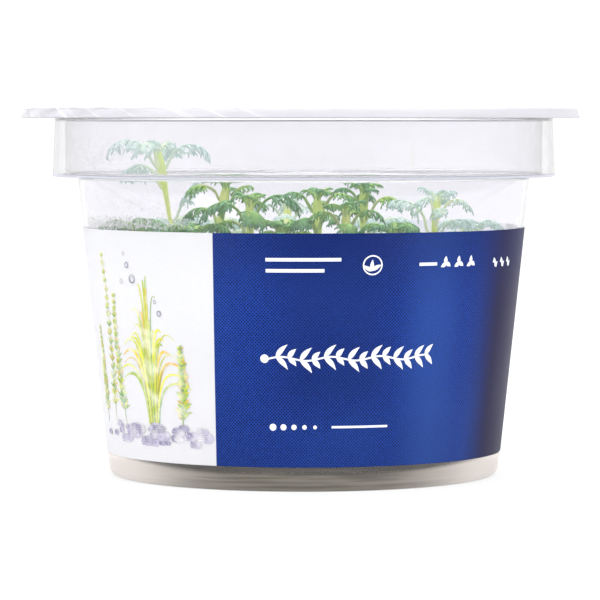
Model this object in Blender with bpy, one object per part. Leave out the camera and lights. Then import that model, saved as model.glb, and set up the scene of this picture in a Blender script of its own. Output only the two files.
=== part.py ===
"""Tissue-cultured American featherfoil growing in its lidded, labelled culture cup.

Every length below is in millimetres and becomes metres when a mesh is made. The origin is the middle
of the cup's underside. Headings are in degrees round the cup's axis: 0 points to the front (-Y), 90 to
the right (+X), 180 to the back and -90 to the left.
"""
import math
from typing import NamedTuple

import bmesh
import bpy
from mathutils import Vector

MM = 0.001
GAP = 0.3
STEPS_ROUND = 40
STEP_ANGLE = 360.0 / STEPS_ROUND

# Cup: a tapering body, a shoulder, an upright upper wall, a flange and a skirt hanging from it
WALL = 0.95
FLOOR = 0.9
BASE_RADIUS = 35.2
SHOULDER_RADIUS = 40.9
SHOULDER_HEIGHT = 53.4
SHOULDER_THICKNESS = 0.8
FOOT_BEND = 2.4
INNER_FOOT_BEND = 1.5
UPPER_WALL_RADIUS = 43.3
UPPER_WALL = 0.9
FLANGE_RADIUS = 48.7
FLANGE_UNDERSIDE = 64.6
FLANGE_TOP = 65.4
SKIRT_TOP_RADIUS = 45.1
SKIRT_FOOT_RADIUS = 45.55
SKIRT_FOOT_HEIGHT = 54.0
SKIRT = 0.7

# Lid: a flat ring on the flange, a turned-down rim with a thumb lobe and a sunken middle panel
LID_TOP = 66.5
LID_SHEET = 0.8
RIM_TOP_RADIUS = 49.4
RIM_FOOT_RADIUS = 50.0
RIM_SHEET = 0.55
PANEL_DROP = 2.0
PANEL_DRAFT = 0.25
LOBE_HEADING = -60.0
LOBE_HALF_WIDTH = 42.0
LOBE_REACH = 1.5

# Label: a thin band in a shallow recess of the body, open at the back
LABEL_FOOT = 4.35
LABEL_TOP = 44.9
LABEL_SHEET = 0.2
LABEL_RECESS = 0.35
LABEL_OPEN_STEPS = 4

# Gel: a disc on the cup's floor that creeps up a little where it meets the wall
GEL_TOP = 14.0
GEL_CREEP = 0.7
GEL_CREEP_WIDTH = 2.0

# Plants
STEM_SIDES = 6
STEM_SHARES = (0.0, 0.3, 0.6, 0.8, 0.94, 1.0)
STEM_FLARE = 0.55
BUD_SHARE = 0.45
STEM_LEAN = 1.6
PETIOLE_WIDTH = 0.85
PETIOLE_THICKNESS = 0.6
BLADE_WIDTH_SHARE = 0.3
BLADE_THICKNESS = 0.45
LEAF_STEPS = 7
SHORT_LEAF_STEPS = 5
PETIOLE_SHARE = 0.25
FINGER_SHARE = 0.2
FINGER_DROP = 0.65
FINGER_SWEEP = 0.5
WHORL_HEIGHT = 1.6


class Leaf(NamedTuple):
    """One feathery leaf: where it leaves the stem, its heading, its length and its arch in degrees."""
    along: float
    heading: float
    length: float
    rise: float
    droop: float


class Plantlet(NamedTuple):
    """One upright plantlet: the stem's foot, its crown, its thickness at the foot and its leaves."""
    foot: tuple
    crown: tuple
    thickness: float
    leaves: tuple


class ShortPlantlet(NamedTuple):
    """One low bushy plantlet: its place, its height, the length of its leaves and how it is turned."""
    place: tuple
    height: float
    leaf_length: float
    turn: float


PLANTLETS = (
    Plantlet((-21.5, 7.0), (-26.8, 6.0, 58.6), 1.7, (
        Leaf(0.98, -85, 9.5, 68, -55),
        Leaf(0.96, 90, 9.0, 70, -52),
        Leaf(0.98, -20, 8.0, 64, -50),
        Leaf(0.96, 170, 8.5, 64, -50),
        Leaf(0.90, -130, 9.0, 50, -58),
        Leaf(0.73, 70, 9.0, 70, 45),
    )),
    Plantlet((-18.3, -7.0), (-14.0, -5.0, 52.5), 1.6, (
        Leaf(0.97, -80, 6.0, 45, -50),
        Leaf(0.95, 75, 4.5, 66, -20),
        Leaf(0.90, 5, 6.0, 45, -55),
        Leaf(0.95, 160, 6.0, 50, -45),
        Leaf(0.86, -125, 7.0, 42, -50),
    )),
    Plantlet((-9.0, -20.0), (-9.6, -17.5, 49.5), 1.7, (
        Leaf(0.98, 80, 8.5, 62, -60),
        Leaf(0.95, -72, 8.5, 58, -66),
        Leaf(0.92, 8, 8.0, 50, -62),
        Leaf(0.97, 165, 6.0, 52, -40),
        Leaf(0.88, -125, 6.5, 42, -50),
    )),
    Plantlet((3.2, -15.5), (2.4, -13.5, 50.5), 1.8, (
        Leaf(0.98, -85, 5.0, 66, -40),
        Leaf(0.98, 75, 5.5, 62, -58),
        Leaf(0.88, -35, 5.5, 36, -58),
        Leaf(0.94, 170, 6.0, 52, -45),
        Leaf(0.90, 25, 5.5, 42, -60),
    )),
    Plantlet((10.4, 1.0), (10.9, -0.5, 51.5), 1.7, (
        Leaf(0.98, -75, 4.0, 50, -25),
        Leaf(0.98, 20, 4.0, 50, -25),
        Leaf(0.91, 88, 8.0, 72, -55),
        Leaf(0.91, -30, 5.5, 42, -50),
        Leaf(0.95, 175, 6.0, 48, -45),
    )),
    Plantlet((21.8, -5.5), (24.0, -7.0, 50.0), 1.5, (
        Leaf(0.98, -38, 5.0, 55, -62),
        Leaf(0.97, 75, 5.5, 50, -68),
        Leaf(0.97, 170, 6.0, 50, -45),
        Leaf(0.86, -88, 9.5, 88, -18),
        Leaf(0.85, 88, 7.5, 55, -58),
        Leaf(0.93, 5, 5.0, 48, -55),
    )),
    Plantlet((8.4, -25.0), (7.2, -24.0, 48.0), 1.6, (
        Leaf(0.97, -80, 5.5, 56, -55),
        Leaf(0.97, 75, 6.0, 58, -55),
        Leaf(0.92, 5, 6.0, 42, -58),
        Leaf(0.97, 160, 5.0, 55, -35),
        Leaf(0.86, 70, 8.0, 40, -58),
    )),
    Plantlet((-4.5, 14.5), (-3.0, 16.5, 48.0), 1.7, (
        Leaf(0.97, -70, 7.5, 55, -50),
        Leaf(0.95, 65, 7.5, 55, -50),
        Leaf(0.97, 175, 7.5, 55, -50),
        Leaf(0.92, -5, 7.0, 48, -50),
    )),
)

SHORT_PLANTLETS = (
    ShortPlantlet((-29.6, -3.0), 45.0, 7.5, 10.0),
    ShortPlantlet((-19.5, -18.0), 45.0, 6.5, 40.0),
    ShortPlantlet((-3.6, -6.5), 45.5, 6.0, 20.0),
    ShortPlantlet((16.3, -12.0), 45.0, 6.0, 0.0),
    ShortPlantlet((30.4, 3.5), 45.0, 6.5, 25.0),
    ShortPlantlet((13.0, 22.0), 44.5, 8.0, 50.0),
    ShortPlantlet((-16.0, 23.0), 44.5, 7.5, 15.0),
)


def clear_scene():
    """Start from an empty scene."""
    for existing in list(bpy.data.objects):
        bpy.data.objects.remove(existing, do_unlink=True)


def make_material(name, colour, roughness, transmission=0.0, alpha=1.0):
    """A Principled material in the part's own colour."""
    material = bpy.data.materials.new(name)
    material.use_nodes = True
    shader = material.node_tree.nodes["Principled BSDF"]
    shader.inputs["Base Color"].default_value = (*colour, 1.0)
    shader.inputs["Roughness"].default_value = roughness
    shader.inputs["Metallic"].default_value = 0.0
    shader.inputs["Transmission Weight"].default_value = transmission
    shader.inputs["Alpha"].default_value = alpha
    material.diffuse_color = (*colour, alpha)
    return material


def add_object(name, mesh_work, material, sharp_angle=35.0):
    """Turn a finished bmesh into a smooth-shaded object at the origin."""
    bmesh.ops.recalc_face_normals(mesh_work, faces=mesh_work.faces)
    mesh = bpy.data.meshes.new(name)
    mesh_work.to_mesh(mesh)
    mesh_work.free()
    mesh.shade_smooth()
    mesh.set_sharp_from_angle(angle=math.radians(sharp_angle))
    mesh.materials.append(material)
    part = bpy.data.objects.new(name, mesh)
    bpy.context.collection.objects.link(part)
    return part


def outward(heading):
    """Unit vector away from the axis at a heading."""
    angle = math.radians(heading)
    return Vector((math.sin(angle), -math.cos(angle), 0.0))


def sideways(heading):
    """Unit vector to the right of a heading, seen from above with the heading pointing down."""
    angle = math.radians(heading)
    return Vector((math.cos(angle), math.sin(angle), 0.0))


def add_vertex(mesh_work, point):
    """Add a vertex from a point in millimetres."""
    return mesh_work.verts.new(point * MM)


def arc(centre_radius, centre_height, radius, start, end, steps):
    """Profile points on an arc, with angles in degrees from the outward direction."""
    points = []
    for step in range(steps + 1):
        angle = math.radians(start + (end - start) * step / steps)
        points.append((centre_radius + radius * math.cos(angle), centre_height + radius * math.sin(angle)))
    return points


def lathe(name, profile, material, swell=None):
    """Turn a profile, from the axis out and back to the axis, into one closed solid of revolution."""
    mesh_work = bmesh.new()
    rings = []
    for radius, height in profile:
        if radius == 0.0:
            rings.append([add_vertex(mesh_work, Vector((0.0, 0.0, height)))] * STEPS_ROUND)
            continue
        ring = []
        for step in range(STEPS_ROUND):
            heading = step * STEP_ANGLE
            reach = radius + (swell(radius, heading) if swell else 0.0)
            ring.append(add_vertex(mesh_work, outward(heading) * reach + Vector((0.0, 0.0, height))))
        rings.append(ring)
    for lower, upper in zip(rings, rings[1:]):
        for step in range(STEPS_ROUND):
            following = (step + 1) % STEPS_ROUND
            corners = [lower[step], lower[following], upper[following], upper[step]]
            mesh_work.faces.new(list(dict.fromkeys(corners)))
    return add_object(name, mesh_work, material)


def taper():
    """Outward slope of the cup's body, in millimetres per millimetre of height."""
    return (SHOULDER_RADIUS - BASE_RADIUS) / SHOULDER_HEIGHT


def body_radius(height):
    """Outer radius of the tapering body at a height."""
    return BASE_RADIUS + taper() * height


def inner_radius(height):
    """Inner radius of the tapering body at a height."""
    return body_radius(height) - WALL


def foot_arc(wall_radius, bend, floor, steps):
    """Rounded corner between a floor and the sloping wall whose radius at height 0 is given."""
    slant = math.hypot(1.0, taper())
    centre_height = floor + bend
    centre_radius = wall_radius + taper() * centre_height - bend * slant
    return arc(centre_radius, centre_height, bend, -90.0, -math.degrees(math.atan(taper())), steps)


def make_cup(material):
    """One moulded shell, from the middle of its underside round the outside to the middle of its floor."""
    recess_foot = LABEL_FOOT - GAP
    recess_top = LABEL_TOP + GAP
    upper_inside = UPPER_WALL_RADIUS - UPPER_WALL
    shoulder_inside = SHOULDER_HEIGHT + SHOULDER_THICKNESS
    profile = [(0.0, 0.0)]
    profile += foot_arc(BASE_RADIUS, FOOT_BEND, 0.0, 3)
    profile += [
        (body_radius(recess_foot), recess_foot - 0.05),
        (body_radius(recess_foot) - LABEL_RECESS, recess_foot),
        (body_radius(recess_top) - LABEL_RECESS, recess_top),
        (body_radius(recess_top), recess_top + 0.05),
        (body_radius(SHOULDER_HEIGHT - 0.3), SHOULDER_HEIGHT - 0.3),
        (SHOULDER_RADIUS + 0.4, SHOULDER_HEIGHT),
        (UPPER_WALL_RADIUS - 0.5, SHOULDER_HEIGHT),
        (UPPER_WALL_RADIUS - 0.1, SHOULDER_HEIGHT + 0.5),
        (UPPER_WALL_RADIUS, FLANGE_UNDERSIDE),
        (SKIRT_TOP_RADIUS - SKIRT, FLANGE_UNDERSIDE),
        (SKIRT_FOOT_RADIUS - SKIRT, SKIRT_FOOT_HEIGHT),
        (SKIRT_FOOT_RADIUS, SKIRT_FOOT_HEIGHT),
        (SKIRT_TOP_RADIUS, FLANGE_UNDERSIDE),
        (FLANGE_RADIUS, FLANGE_UNDERSIDE),
        (FLANGE_RADIUS, FLANGE_TOP),
        (upper_inside + 0.2, FLANGE_TOP),
        (upper_inside, FLANGE_TOP - 0.2),
        (upper_inside - 0.1, shoulder_inside + 0.3),
        (upper_inside - 0.4, shoulder_inside),
        (inner_radius(shoulder_inside) + 0.3, shoulder_inside),
        (inner_radius(shoulder_inside - 0.3), shoulder_inside - 0.3),
    ]
    profile += reversed(foot_arc(BASE_RADIUS - WALL, INNER_FOOT_BEND, FLOOR, 3))
    profile += [(0.0, FLOOR)]
    return lathe("culture_cup", profile, material)


def thumb_lobe(radius, heading):
    """How far the lid's rim swells outward at a heading, to make its thumb lobe."""
    if radius < RIM_TOP_RADIUS - RIM_SHEET:
        return 0.0
    offset = abs((heading - LOBE_HEADING + 180.0) % 360.0 - 180.0)
    nearness = max(0.0, 1.0 - offset / LOBE_HALF_WIDTH)
    return LOBE_REACH * min(1.0, 2.5 * nearness)


def make_lid(material):
    """One moulded sheet that lies on the flange, wraps its edge and dips into the cup's mouth."""
    sheet_underside = LID_TOP - LID_SHEET
    panel_outside = UPPER_WALL_RADIUS - UPPER_WALL - GAP
    profile = [
        (0.0, sheet_underside - PANEL_DROP),
        (panel_outside - PANEL_DRAFT, sheet_underside - PANEL_DROP),
        (panel_outside, sheet_underside),
        (RIM_TOP_RADIUS - RIM_SHEET + 0.2, sheet_underside),
        (RIM_FOOT_RADIUS - RIM_SHEET, FLANGE_UNDERSIDE),
        (RIM_FOOT_RADIUS, FLANGE_UNDERSIDE),
        (RIM_TOP_RADIUS + 0.15, LID_TOP - 0.25),
        (RIM_TOP_RADIUS - 0.1, LID_TOP),
        (panel_outside - LID_SHEET, LID_TOP),
        (panel_outside - LID_SHEET - PANEL_DRAFT, LID_TOP - PANEL_DROP),
        (0.0, LID_TOP - PANEL_DROP),
    ]
    return lathe("snap_lid", profile, material, swell=thumb_lobe)


def make_gel(material):
    """The bed of gel, with a skin that creeps up the wall."""
    edge_height = GEL_TOP + GEL_CREEP
    profile = [(0.0, FLOOR + GAP)]
    profile += foot_arc(BASE_RADIUS - WALL - GAP, INNER_FOOT_BEND, FLOOR + GAP, 2)
    profile += [
        (inner_radius(edge_height) - GAP, edge_height),
        (inner_radius(GEL_TOP) - GAP - 0.5 * GEL_CREEP_WIDTH, GEL_TOP + 0.2 * GEL_CREEP),
        (inner_radius(GEL_TOP) - GAP - 1.5 * GEL_CREEP_WIDTH, GEL_TOP),
        (0.0, GEL_TOP),
    ]
    return lathe("nutrient_gel", profile, material)


def make_label(material):
    """The printed band, which leaves the back of the body bare."""
    mesh_work = bmesh.new()
    inside = GAP - LABEL_RECESS
    outside = inside + LABEL_SHEET
    stations = []
    first = LABEL_OPEN_STEPS / 2 - STEPS_ROUND / 2
    for step in range(STEPS_ROUND - LABEL_OPEN_STEPS + 1):
        away = outward((first + step) * STEP_ANGLE)
        station = []
        for height, offset in ((LABEL_FOOT, inside), (LABEL_FOOT, outside),
                               (LABEL_TOP, outside), (LABEL_TOP, inside)):
            place = away * (body_radius(height) + offset) + Vector((0.0, 0.0, height))
            station.append(add_vertex(mesh_work, place))
        stations.append(station)
    bridge(mesh_work, stations)
    mesh_work.faces.new(stations[0])
    mesh_work.faces.new(stations[-1])
    return add_object("wrap_label", mesh_work, material)


def bridge(mesh_work, rings):
    """Join rings of equal length, one after the other, with four-sided faces."""
    for ring, following in zip(rings, rings[1:]):
        count = len(ring)
        for corner in range(count):
            after = (corner + 1) % count
            mesh_work.faces.new((ring[corner], ring[after], following[after], following[corner]))


def stem_point(plantlet, along):
    """Point on a plantlet's axis, from 0 at the gel to 1 at the crown: straight up first, then leaning."""
    foot = Vector((*plantlet.foot, GEL_TOP + GAP))
    crown = Vector(plantlet.crown)
    lean = along ** STEM_LEAN
    return Vector((foot.x + (crown.x - foot.x) * lean,
                   foot.y + (crown.y - foot.y) * lean,
                   foot.z + (crown.z - foot.z) * along))


def stem_radius(plantlet, along):
    """Radius of a plantlet's stem, which widens into its crown where the leaf bases meet."""
    return 0.5 * plantlet.thickness * (1.0 + STEM_FLARE * along ** 4)


def stem_ring(mesh_work, centre, radius, turn=0.0):
    """One ring of a stem's skin."""
    ring = []
    for side in range(STEM_SIDES):
        heading = turn + side * 360.0 / STEM_SIDES
        ring.append(add_vertex(mesh_work, centre + outward(heading) * radius))
    return ring


def make_stem(name, plantlet, material):
    """The upright stem of one plantlet, closing to a bud at its crown."""
    mesh_work = bmesh.new()
    rings = []
    for along in STEM_SHARES:
        radius = stem_radius(plantlet, along) * (BUD_SHARE if along == 1.0 else 1.0)
        rings.append(stem_ring(mesh_work, stem_point(plantlet, along), radius))
    bridge(mesh_work, rings)
    mesh_work.faces.new(rings[0])
    mesh_work.faces.new(rings[-1])
    return add_object(name, mesh_work, material)


def leaf_half_width(leaf, share):
    """Half the width of a leaf's middle: a narrow stalk, then a blade that is widest near its middle."""
    if share < PETIOLE_SHARE:
        return 0.5 * PETIOLE_WIDTH
    blade_share = (share - PETIOLE_SHARE) / (1.0 - PETIOLE_SHARE)
    swell = BLADE_WIDTH_SHARE * leaf.length - PETIOLE_WIDTH
    return 0.5 * (PETIOLE_WIDTH + swell * math.sin(math.pi * blade_share ** 0.8))


def grow_leaf(mesh_work, start, leaf, steps, root=None):
    """Grow one arching leaf: a narrow stalk, then a blade with drooping fingers along both edges.

    root is the loop of four stem vertices it grows from, or None for a leaf that is its own piece.
    """
    side = sideways(leaf.heading)
    step_length = leaf.length / steps
    point = start.copy()
    last = root
    for step in range(steps):
        share = (step + 0.5) / steps
        climb = math.radians(leaf.rise + (leaf.droop - leaf.rise) * share)
        direction = outward(leaf.heading) * math.cos(climb) + Vector((0.0, 0.0, math.sin(climb)))
        up = direction.cross(side)
        on_blade = step / steps >= PETIOLE_SHARE
        half_width = leaf_half_width(leaf, step / steps)
        half_thickness = 0.5 * (BLADE_THICKNESS if on_blade else PETIOLE_THICKNESS)
        ring = [add_vertex(mesh_work, point + side * half_width * right + up * half_thickness * top)
                for right, top in ((-1, 1), (1, 1), (1, -1), (-1, -1))]
        if last is None:
            mesh_work.faces.new(ring)
        else:
            reach = FINGER_SHARE * leaf.length * math.sin(math.pi * (0.2 + 0.6 * share))
            join_leaf_rings(mesh_work, last, ring, side, direction, reach if on_blade else 0.0)
        last = ring
        point = point + direction * step_length
    tip = add_vertex(mesh_work, point)
    for corner in range(4):
        mesh_work.faces.new((last[corner], last[(corner + 1) % 4], tip))


def join_leaf_rings(mesh_work, last, ring, side, direction, reach):
    """Skin one length of a leaf, with a pointed finger of the given reach on both edges."""
    for corner in range(4):
        after = (corner + 1) % 4
        corners = (last[corner], last[after], ring[after], ring[corner])
        if corner in (0, 2) or reach == 0.0:
            mesh_work.faces.new(corners)
            continue
        middle = sum((vertex.co for vertex in corners), Vector()) / (4 * MM)
        away = side if corner == 1 else -side
        finger = away + direction * FINGER_SWEEP - Vector((0.0, 0.0, FINGER_DROP))
        tip = add_vertex(mesh_work, middle + finger * reach)
        for first in range(4):
            mesh_work.faces.new((corners[first], corners[(first + 1) % 4], tip))


def make_leaf(name, plantlet, leaf, material):
    """One leaf of an upright plantlet, starting just clear of its stem."""
    clearance = stem_radius(plantlet, leaf.along) + GAP + 0.5 * PETIOLE_THICKNESS
    start = stem_point(plantlet, leaf.along) + outward(leaf.heading) * clearance
    mesh_work = bmesh.new()
    grow_leaf(mesh_work, start, leaf, LEAF_STEPS)
    return add_object(name, mesh_work, material, sharp_angle=25.0)


def make_short_plantlet(name, plant, material):
    """A low bushy plantlet: leaves grow from the faces of a short stem, in two staggered whorls."""
    mesh_work = bmesh.new()
    heights = (GEL_TOP + GAP, plant.height - 2 * WHORL_HEIGHT, plant.height - WHORL_HEIGHT, plant.height)
    rings = []
    for height, radius in zip(heights, (0.9, 0.9, 1.0, 0.9)):
        centre = Vector((*plant.place, height))
        rings.append(stem_ring(mesh_work, centre, radius, turn=plant.turn))
    mesh_work.faces.new(rings[0])
    mesh_work.faces.new(rings[-1])
    for level, (ring, following) in enumerate(zip(rings, rings[1:])):
        for side in range(STEM_SIDES):
            after = (side + 1) % STEM_SIDES
            heading = plant.turn + (side + 0.5) * 360.0 / STEM_SIDES
            if level in (1, 2) and side % 2 == level % 2:
                root = [following[side], following[after], ring[after], ring[side]]
                middle = Vector((*plant.place, 0.5 * (heights[level] + heights[level + 1])))
                leaf = Leaf(1.0, heading, plant.leaf_length, 58 if level == 2 else 40, -50)
                grow_leaf(mesh_work, middle + outward(heading) * 1.6, leaf, SHORT_LEAF_STEPS, root)
            else:
                mesh_work.faces.new((ring[side], ring[after], following[after], following[side]))
    return add_object(name, mesh_work, material, sharp_angle=25.0)


def build():
    """Make every piece of the part."""
    clear_scene()
    clear_plastic = make_material("clear_plastic", (0.93, 0.93, 0.95), 0.12, transmission=0.9, alpha=0.3)
    lid_plastic = make_material("lid_plastic", (0.90, 0.90, 0.92), 0.25, transmission=0.85, alpha=0.35)
    label_film = make_material("label_film", (0.02, 0.06, 0.28), 0.35)
    gel_jelly = make_material("gel_jelly", (0.55, 0.47, 0.36), 0.2, transmission=0.5, alpha=0.8)
    stem_green = make_material("stem_green", (0.52, 0.62, 0.24), 0.45)
    leaf_green = make_material("leaf_green", (0.16, 0.36, 0.09), 0.5)

    make_cup(clear_plastic)
    make_lid(lid_plastic)
    make_label(label_film)
    make_gel(gel_jelly)
    for number, plantlet in enumerate(PLANTLETS, start=1):
        make_stem(f"plantlet_{number}_stem", plantlet, stem_green)
        for leaf_number, leaf in enumerate(plantlet.leaves, start=1):
            make_leaf(f"plantlet_{number}_leaf_{leaf_number}", plantlet, leaf, leaf_green)
    for number, plant in enumerate(SHORT_PLANTLETS, start=1):
        make_short_plantlet(f"short_plantlet_{number}", plant, leaf_green)


build()
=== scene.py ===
# %% [markdown]
# # A culture cup of American featherfoil
#
# Laboratory-grown water plants are sold in a clear moulded cup: a bed of nutrient gel, the plantlets
# standing in it, a lid snapped over the flange and a printed band round the body. This lesson dresses
# the imported solids of that cup with finer shapes and real finishes.
#
# The imported model is loaded first and never moved.

# %% Load the imported solids
import math
import random

import bpy
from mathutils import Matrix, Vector


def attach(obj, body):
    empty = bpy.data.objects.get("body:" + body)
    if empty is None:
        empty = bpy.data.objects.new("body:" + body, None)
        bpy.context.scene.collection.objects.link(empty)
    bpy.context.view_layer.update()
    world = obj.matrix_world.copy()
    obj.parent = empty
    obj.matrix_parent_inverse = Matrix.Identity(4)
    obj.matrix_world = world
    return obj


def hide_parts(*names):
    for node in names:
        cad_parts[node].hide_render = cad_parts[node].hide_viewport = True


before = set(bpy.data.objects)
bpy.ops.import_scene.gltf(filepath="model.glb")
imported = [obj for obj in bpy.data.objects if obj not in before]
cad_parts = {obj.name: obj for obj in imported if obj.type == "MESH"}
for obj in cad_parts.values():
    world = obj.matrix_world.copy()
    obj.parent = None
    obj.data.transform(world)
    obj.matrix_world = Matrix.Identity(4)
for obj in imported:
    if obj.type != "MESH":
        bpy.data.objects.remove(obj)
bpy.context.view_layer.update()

# %% [markdown]
# ## Sizes and directions
#
# Everything is measured in millimetres here and turned into metres when a mesh is made. A heading is
# an angle round the cup: 0 faces the front, which is -Y, and 90 faces the right, which is +X. The
# body tapers, so its radius is worked out from the height wherever it is needed.

# %% Sizes of the cup
MM = 0.001
UP = Vector((0.0, 0.0, 1.0))
BASE_RADIUS, SHOULDER_RADIUS, SHOULDER_HEIGHT = 35.2, 40.9, 53.4
WALL, FLOOR = 0.95, 0.9
TAPER = (SHOULDER_RADIUS - BASE_RADIUS) / SHOULDER_HEIGHT
LEDGE, FLANGE_FOOT, FLANGE_TOP = 54.0, 64.6, 65.4
COLLAR_INSIDE, COLLAR_OUTSIDE, FLANGE_EDGE = 42.3, 43.3, 48.7
GEL_TOP = 14.0
LABEL_FOOT, LABEL_TOP, FILM = 4.35, 44.9, 0.15
LABEL_END = 162.0


def body_radius(height):
    """Outer radius of the tapering body, in mm."""
    return BASE_RADIUS + TAPER * height


def inner_radius(height):
    """Inner radius of the tapering body, in mm."""
    return body_radius(height) - WALL


def outward(heading):
    """Level direction away from the axis at a heading in degrees."""
    angle = math.radians(heading)
    return Vector((math.sin(angle), -math.cos(angle), 0.0))


def sideways(heading):
    """Level direction along the wall, towards growing headings."""
    angle = math.radians(heading)
    return Vector((math.cos(angle), math.sin(angle), 0.0))


print("body radius at the label's foot and top:",
      round(body_radius(LABEL_FOOT), 2), round(body_radius(LABEL_TOP), 2))

# %% [markdown]
# ## Shader sums as plain Python
#
# A node material is easier to read as an expression than as a web of boxes. Wire wraps one output
# socket and takes part in sums, and each operator adds one Math node. Finish is a material being
# written: its add method makes any node, sets its settings first, and then fills its sockets with
# numbers, colours or wires.

# %% Wire: sums on sockets


class Wire:
    """One output socket of a node, which takes part in Python sums."""

    def __init__(self, finish, node, socket):
        self.finish = finish
        self.node = node
        self.socket = socket

    def math(self, operation, *terms):
        return self.finish.add("ShaderNodeMath", {"operation": operation}, dict(enumerate(terms)))

    def __add__(self, other):
        return self.math("ADD", self, other)

    def __radd__(self, other):
        return self.math("ADD", other, self)

    def __sub__(self, other):
        return self.math("SUBTRACT", self, other)

    def __rsub__(self, other):
        return self.math("SUBTRACT", other, self)

    def __mul__(self, other):
        return self.math("MULTIPLY", self, other)

    def __rmul__(self, other):
        return self.math("MULTIPLY", other, self)

    def sine(self):
        return self.math("SINE", self)

    def root(self):
        return self.math("SQRT", self)

    def positive(self):
        return self.math("ABSOLUTE", self)

    def fade(self, start, end):
        """0 before start, 1 after end, and smooth between them; start may be the larger."""
        return self.finish.add("ShaderNodeMapRange", {"interpolation_type": "SMOOTHSTEP"},
                               {"Value": self, "From Min": start, "From Max": end})

    def part(self, name):
        """Another output of the same node."""
        return Wire(self.finish, self.node, self.node.outputs[name])


print("Wire knows sums, differences and products, from both sides")

# %% Finish: any node from one method


class Finish:
    """A material being written, or the world when it is given one."""

    def __init__(self, name, owner=None):
        self.owner = owner or bpy.data.materials.new(name)
        self.owner.use_nodes = True
        self.tree = self.owner.node_tree
        self.tree.nodes.clear()

    def add(self, kind, settings=None, sockets=None, output=0):
        """Any node: its settings are set first, and then its sockets are filled or linked."""
        node = self.tree.nodes.new(kind)
        for name, value in (settings or {}).items():
            if name == "stops":
                stops = node.color_ramp.elements
                while len(stops) < len(value):
                    stops.new(1.0)
                for stop, (place, colour) in zip(stops, value):
                    stop.position = place
                    stop.color = (*colour, 1.0)
            else:
                setattr(node, name, value)
        for name, value in (sockets or {}).items():
            if isinstance(value, Wire):
                self.tree.links.new(value.socket, node.inputs[name])
            elif isinstance(value, tuple) and len(value) == 3 and node.inputs[name].type == "RGBA":
                node.inputs[name].default_value = (*value, 1.0)
            else:
                node.inputs[name].default_value = value
        return Wire(self, node, node.outputs[output]) if node.outputs else node

    def mix(self, factor, first, second, blend="MIX"):
        """Two colours mixed, or multiplied and the like."""
        node = self.tree.nodes.new("ShaderNodeMix")
        node.data_type = "RGBA"
        node.blend_type = blend
        for place, value in ((0, factor), (6, first), (7, second)):
            if isinstance(value, Wire):
                self.tree.links.new(value.socket, node.inputs[place])
            else:
                node.inputs[place].default_value = (*value, 1.0) if place else value
        return Wire(self, node, node.outputs[2])

    def noise(self, place, scale, detail=2.0, roughness=0.5):
        """Cloudy noise from 0 to 1; place is a vector wire in metres and scale counts per metre."""
        return self.add("ShaderNodeTexNoise", {}, {"Vector": place, "Scale": scale, "Detail": detail,
                                                   "Roughness": roughness})

    def stretch(self, place, factors):
        """A place multiplied by three factors, so that a pattern is drawn out along an axis."""
        return self.add("ShaderNodeVectorMath", {"operation": "MULTIPLY"}, {0: place, 1: factors})

    def bump(self, height, strength, depth_mm):
        """Fine relief that is shaded but not modelled."""
        return self.add("ShaderNodeBump", {}, {"Height": height, "Strength": strength,
                                               "Distance": depth_mm * MM})

    def done(self, surface, volume=None):
        out = self.add("ShaderNodeOutputMaterial" if isinstance(self.owner, bpy.types.Material)
                       else "ShaderNodeOutputWorld", {}, {"Surface": surface})
        if volume is not None:
            self.tree.links.new(volume.socket, out.inputs["Volume"])
        return self.owner


def shade(red, green, blue):
    """A colour from its 0 to 255 screen values, turned into the linear values that shaders use."""
    return tuple((value / 255 / 12.92) if value <= 10 else ((value / 255 + 0.055) / 1.055) ** 2.4
                 for value in (red, green, blue))


print("mid grey of the screen in linear light:", round(shade(128, 128, 128)[0], 3))

# %% [markdown]
# ## Turning round pieces
#
# The cup, lid and gel are turned: one outline of radius and height is swept round the axis. A moulded
# edge is never sharp, so each corner of the outline is rounded with a small curve first. The rounding
# also leaves a point a little way along each flat, which keeps the smooth shading of the round edge
# from creeping over the flat and bending what is seen through the wall.

# %% Round the corners of an outline


def soften(outline, reach, steps=3):
    """Rounds every corner of an outline that leaves the axis."""
    soft = [outline[0]]
    for before, corner, after in zip(outline, outline[1:], outline[2:]):
        back = Vector(before) - Vector(corner)
        onward = Vector(after) - Vector(corner)
        nearly_straight = back.angle(onward) > math.radians(168)
        if nearly_straight:
            soft.append(corner)
            continue
        size = min(reach, 0.3 * back.length, 0.3 * onward.length)
        start = Vector(corner) + back.normalized() * size
        end = Vector(corner) + onward.normalized() * size
        if back.length > 4 * size:
            soft.append(tuple(start + back.normalized() * size))
        for step in range(steps + 1):
            t = step / steps
            soft.append(tuple(start * (1 - t) ** 2 + Vector(corner) * 2 * t * (1 - t) + end * t ** 2))
        if onward.length > 4 * size:
            soft.append(tuple(end + onward.normalized() * size))
    soft.append(outline[-1])
    return soft


print("a sharp corner becomes", len(soften([(0.0, 0.0), (1.0, 0.0), (1.0, 1.0)], 0.1)) - 2, "points")

# %% Make a mesh and turn an outline
TURN_STEPS = 180


def make_mesh(name, points, faces, marks=None, sharp=180.0):
    """An object from points in mm, with a number kept at each point for every mark."""
    mesh = bpy.data.meshes.new(name)
    mesh.from_pydata([Vector(point) * MM for point in points], [], faces)
    for mark, values in (marks or {}).items():
        kept = mesh.attributes.new(mark, "FLOAT", "POINT")
        kept.data.foreach_set("value", values)
    mesh.shade_smooth()
    if sharp < 180.0:
        mesh.set_sharp_from_angle(angle=math.radians(sharp))
    mesh.validate()
    piece = bpy.data.objects.new(name, mesh)
    bpy.context.scene.collection.objects.link(piece)
    return piece


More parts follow.
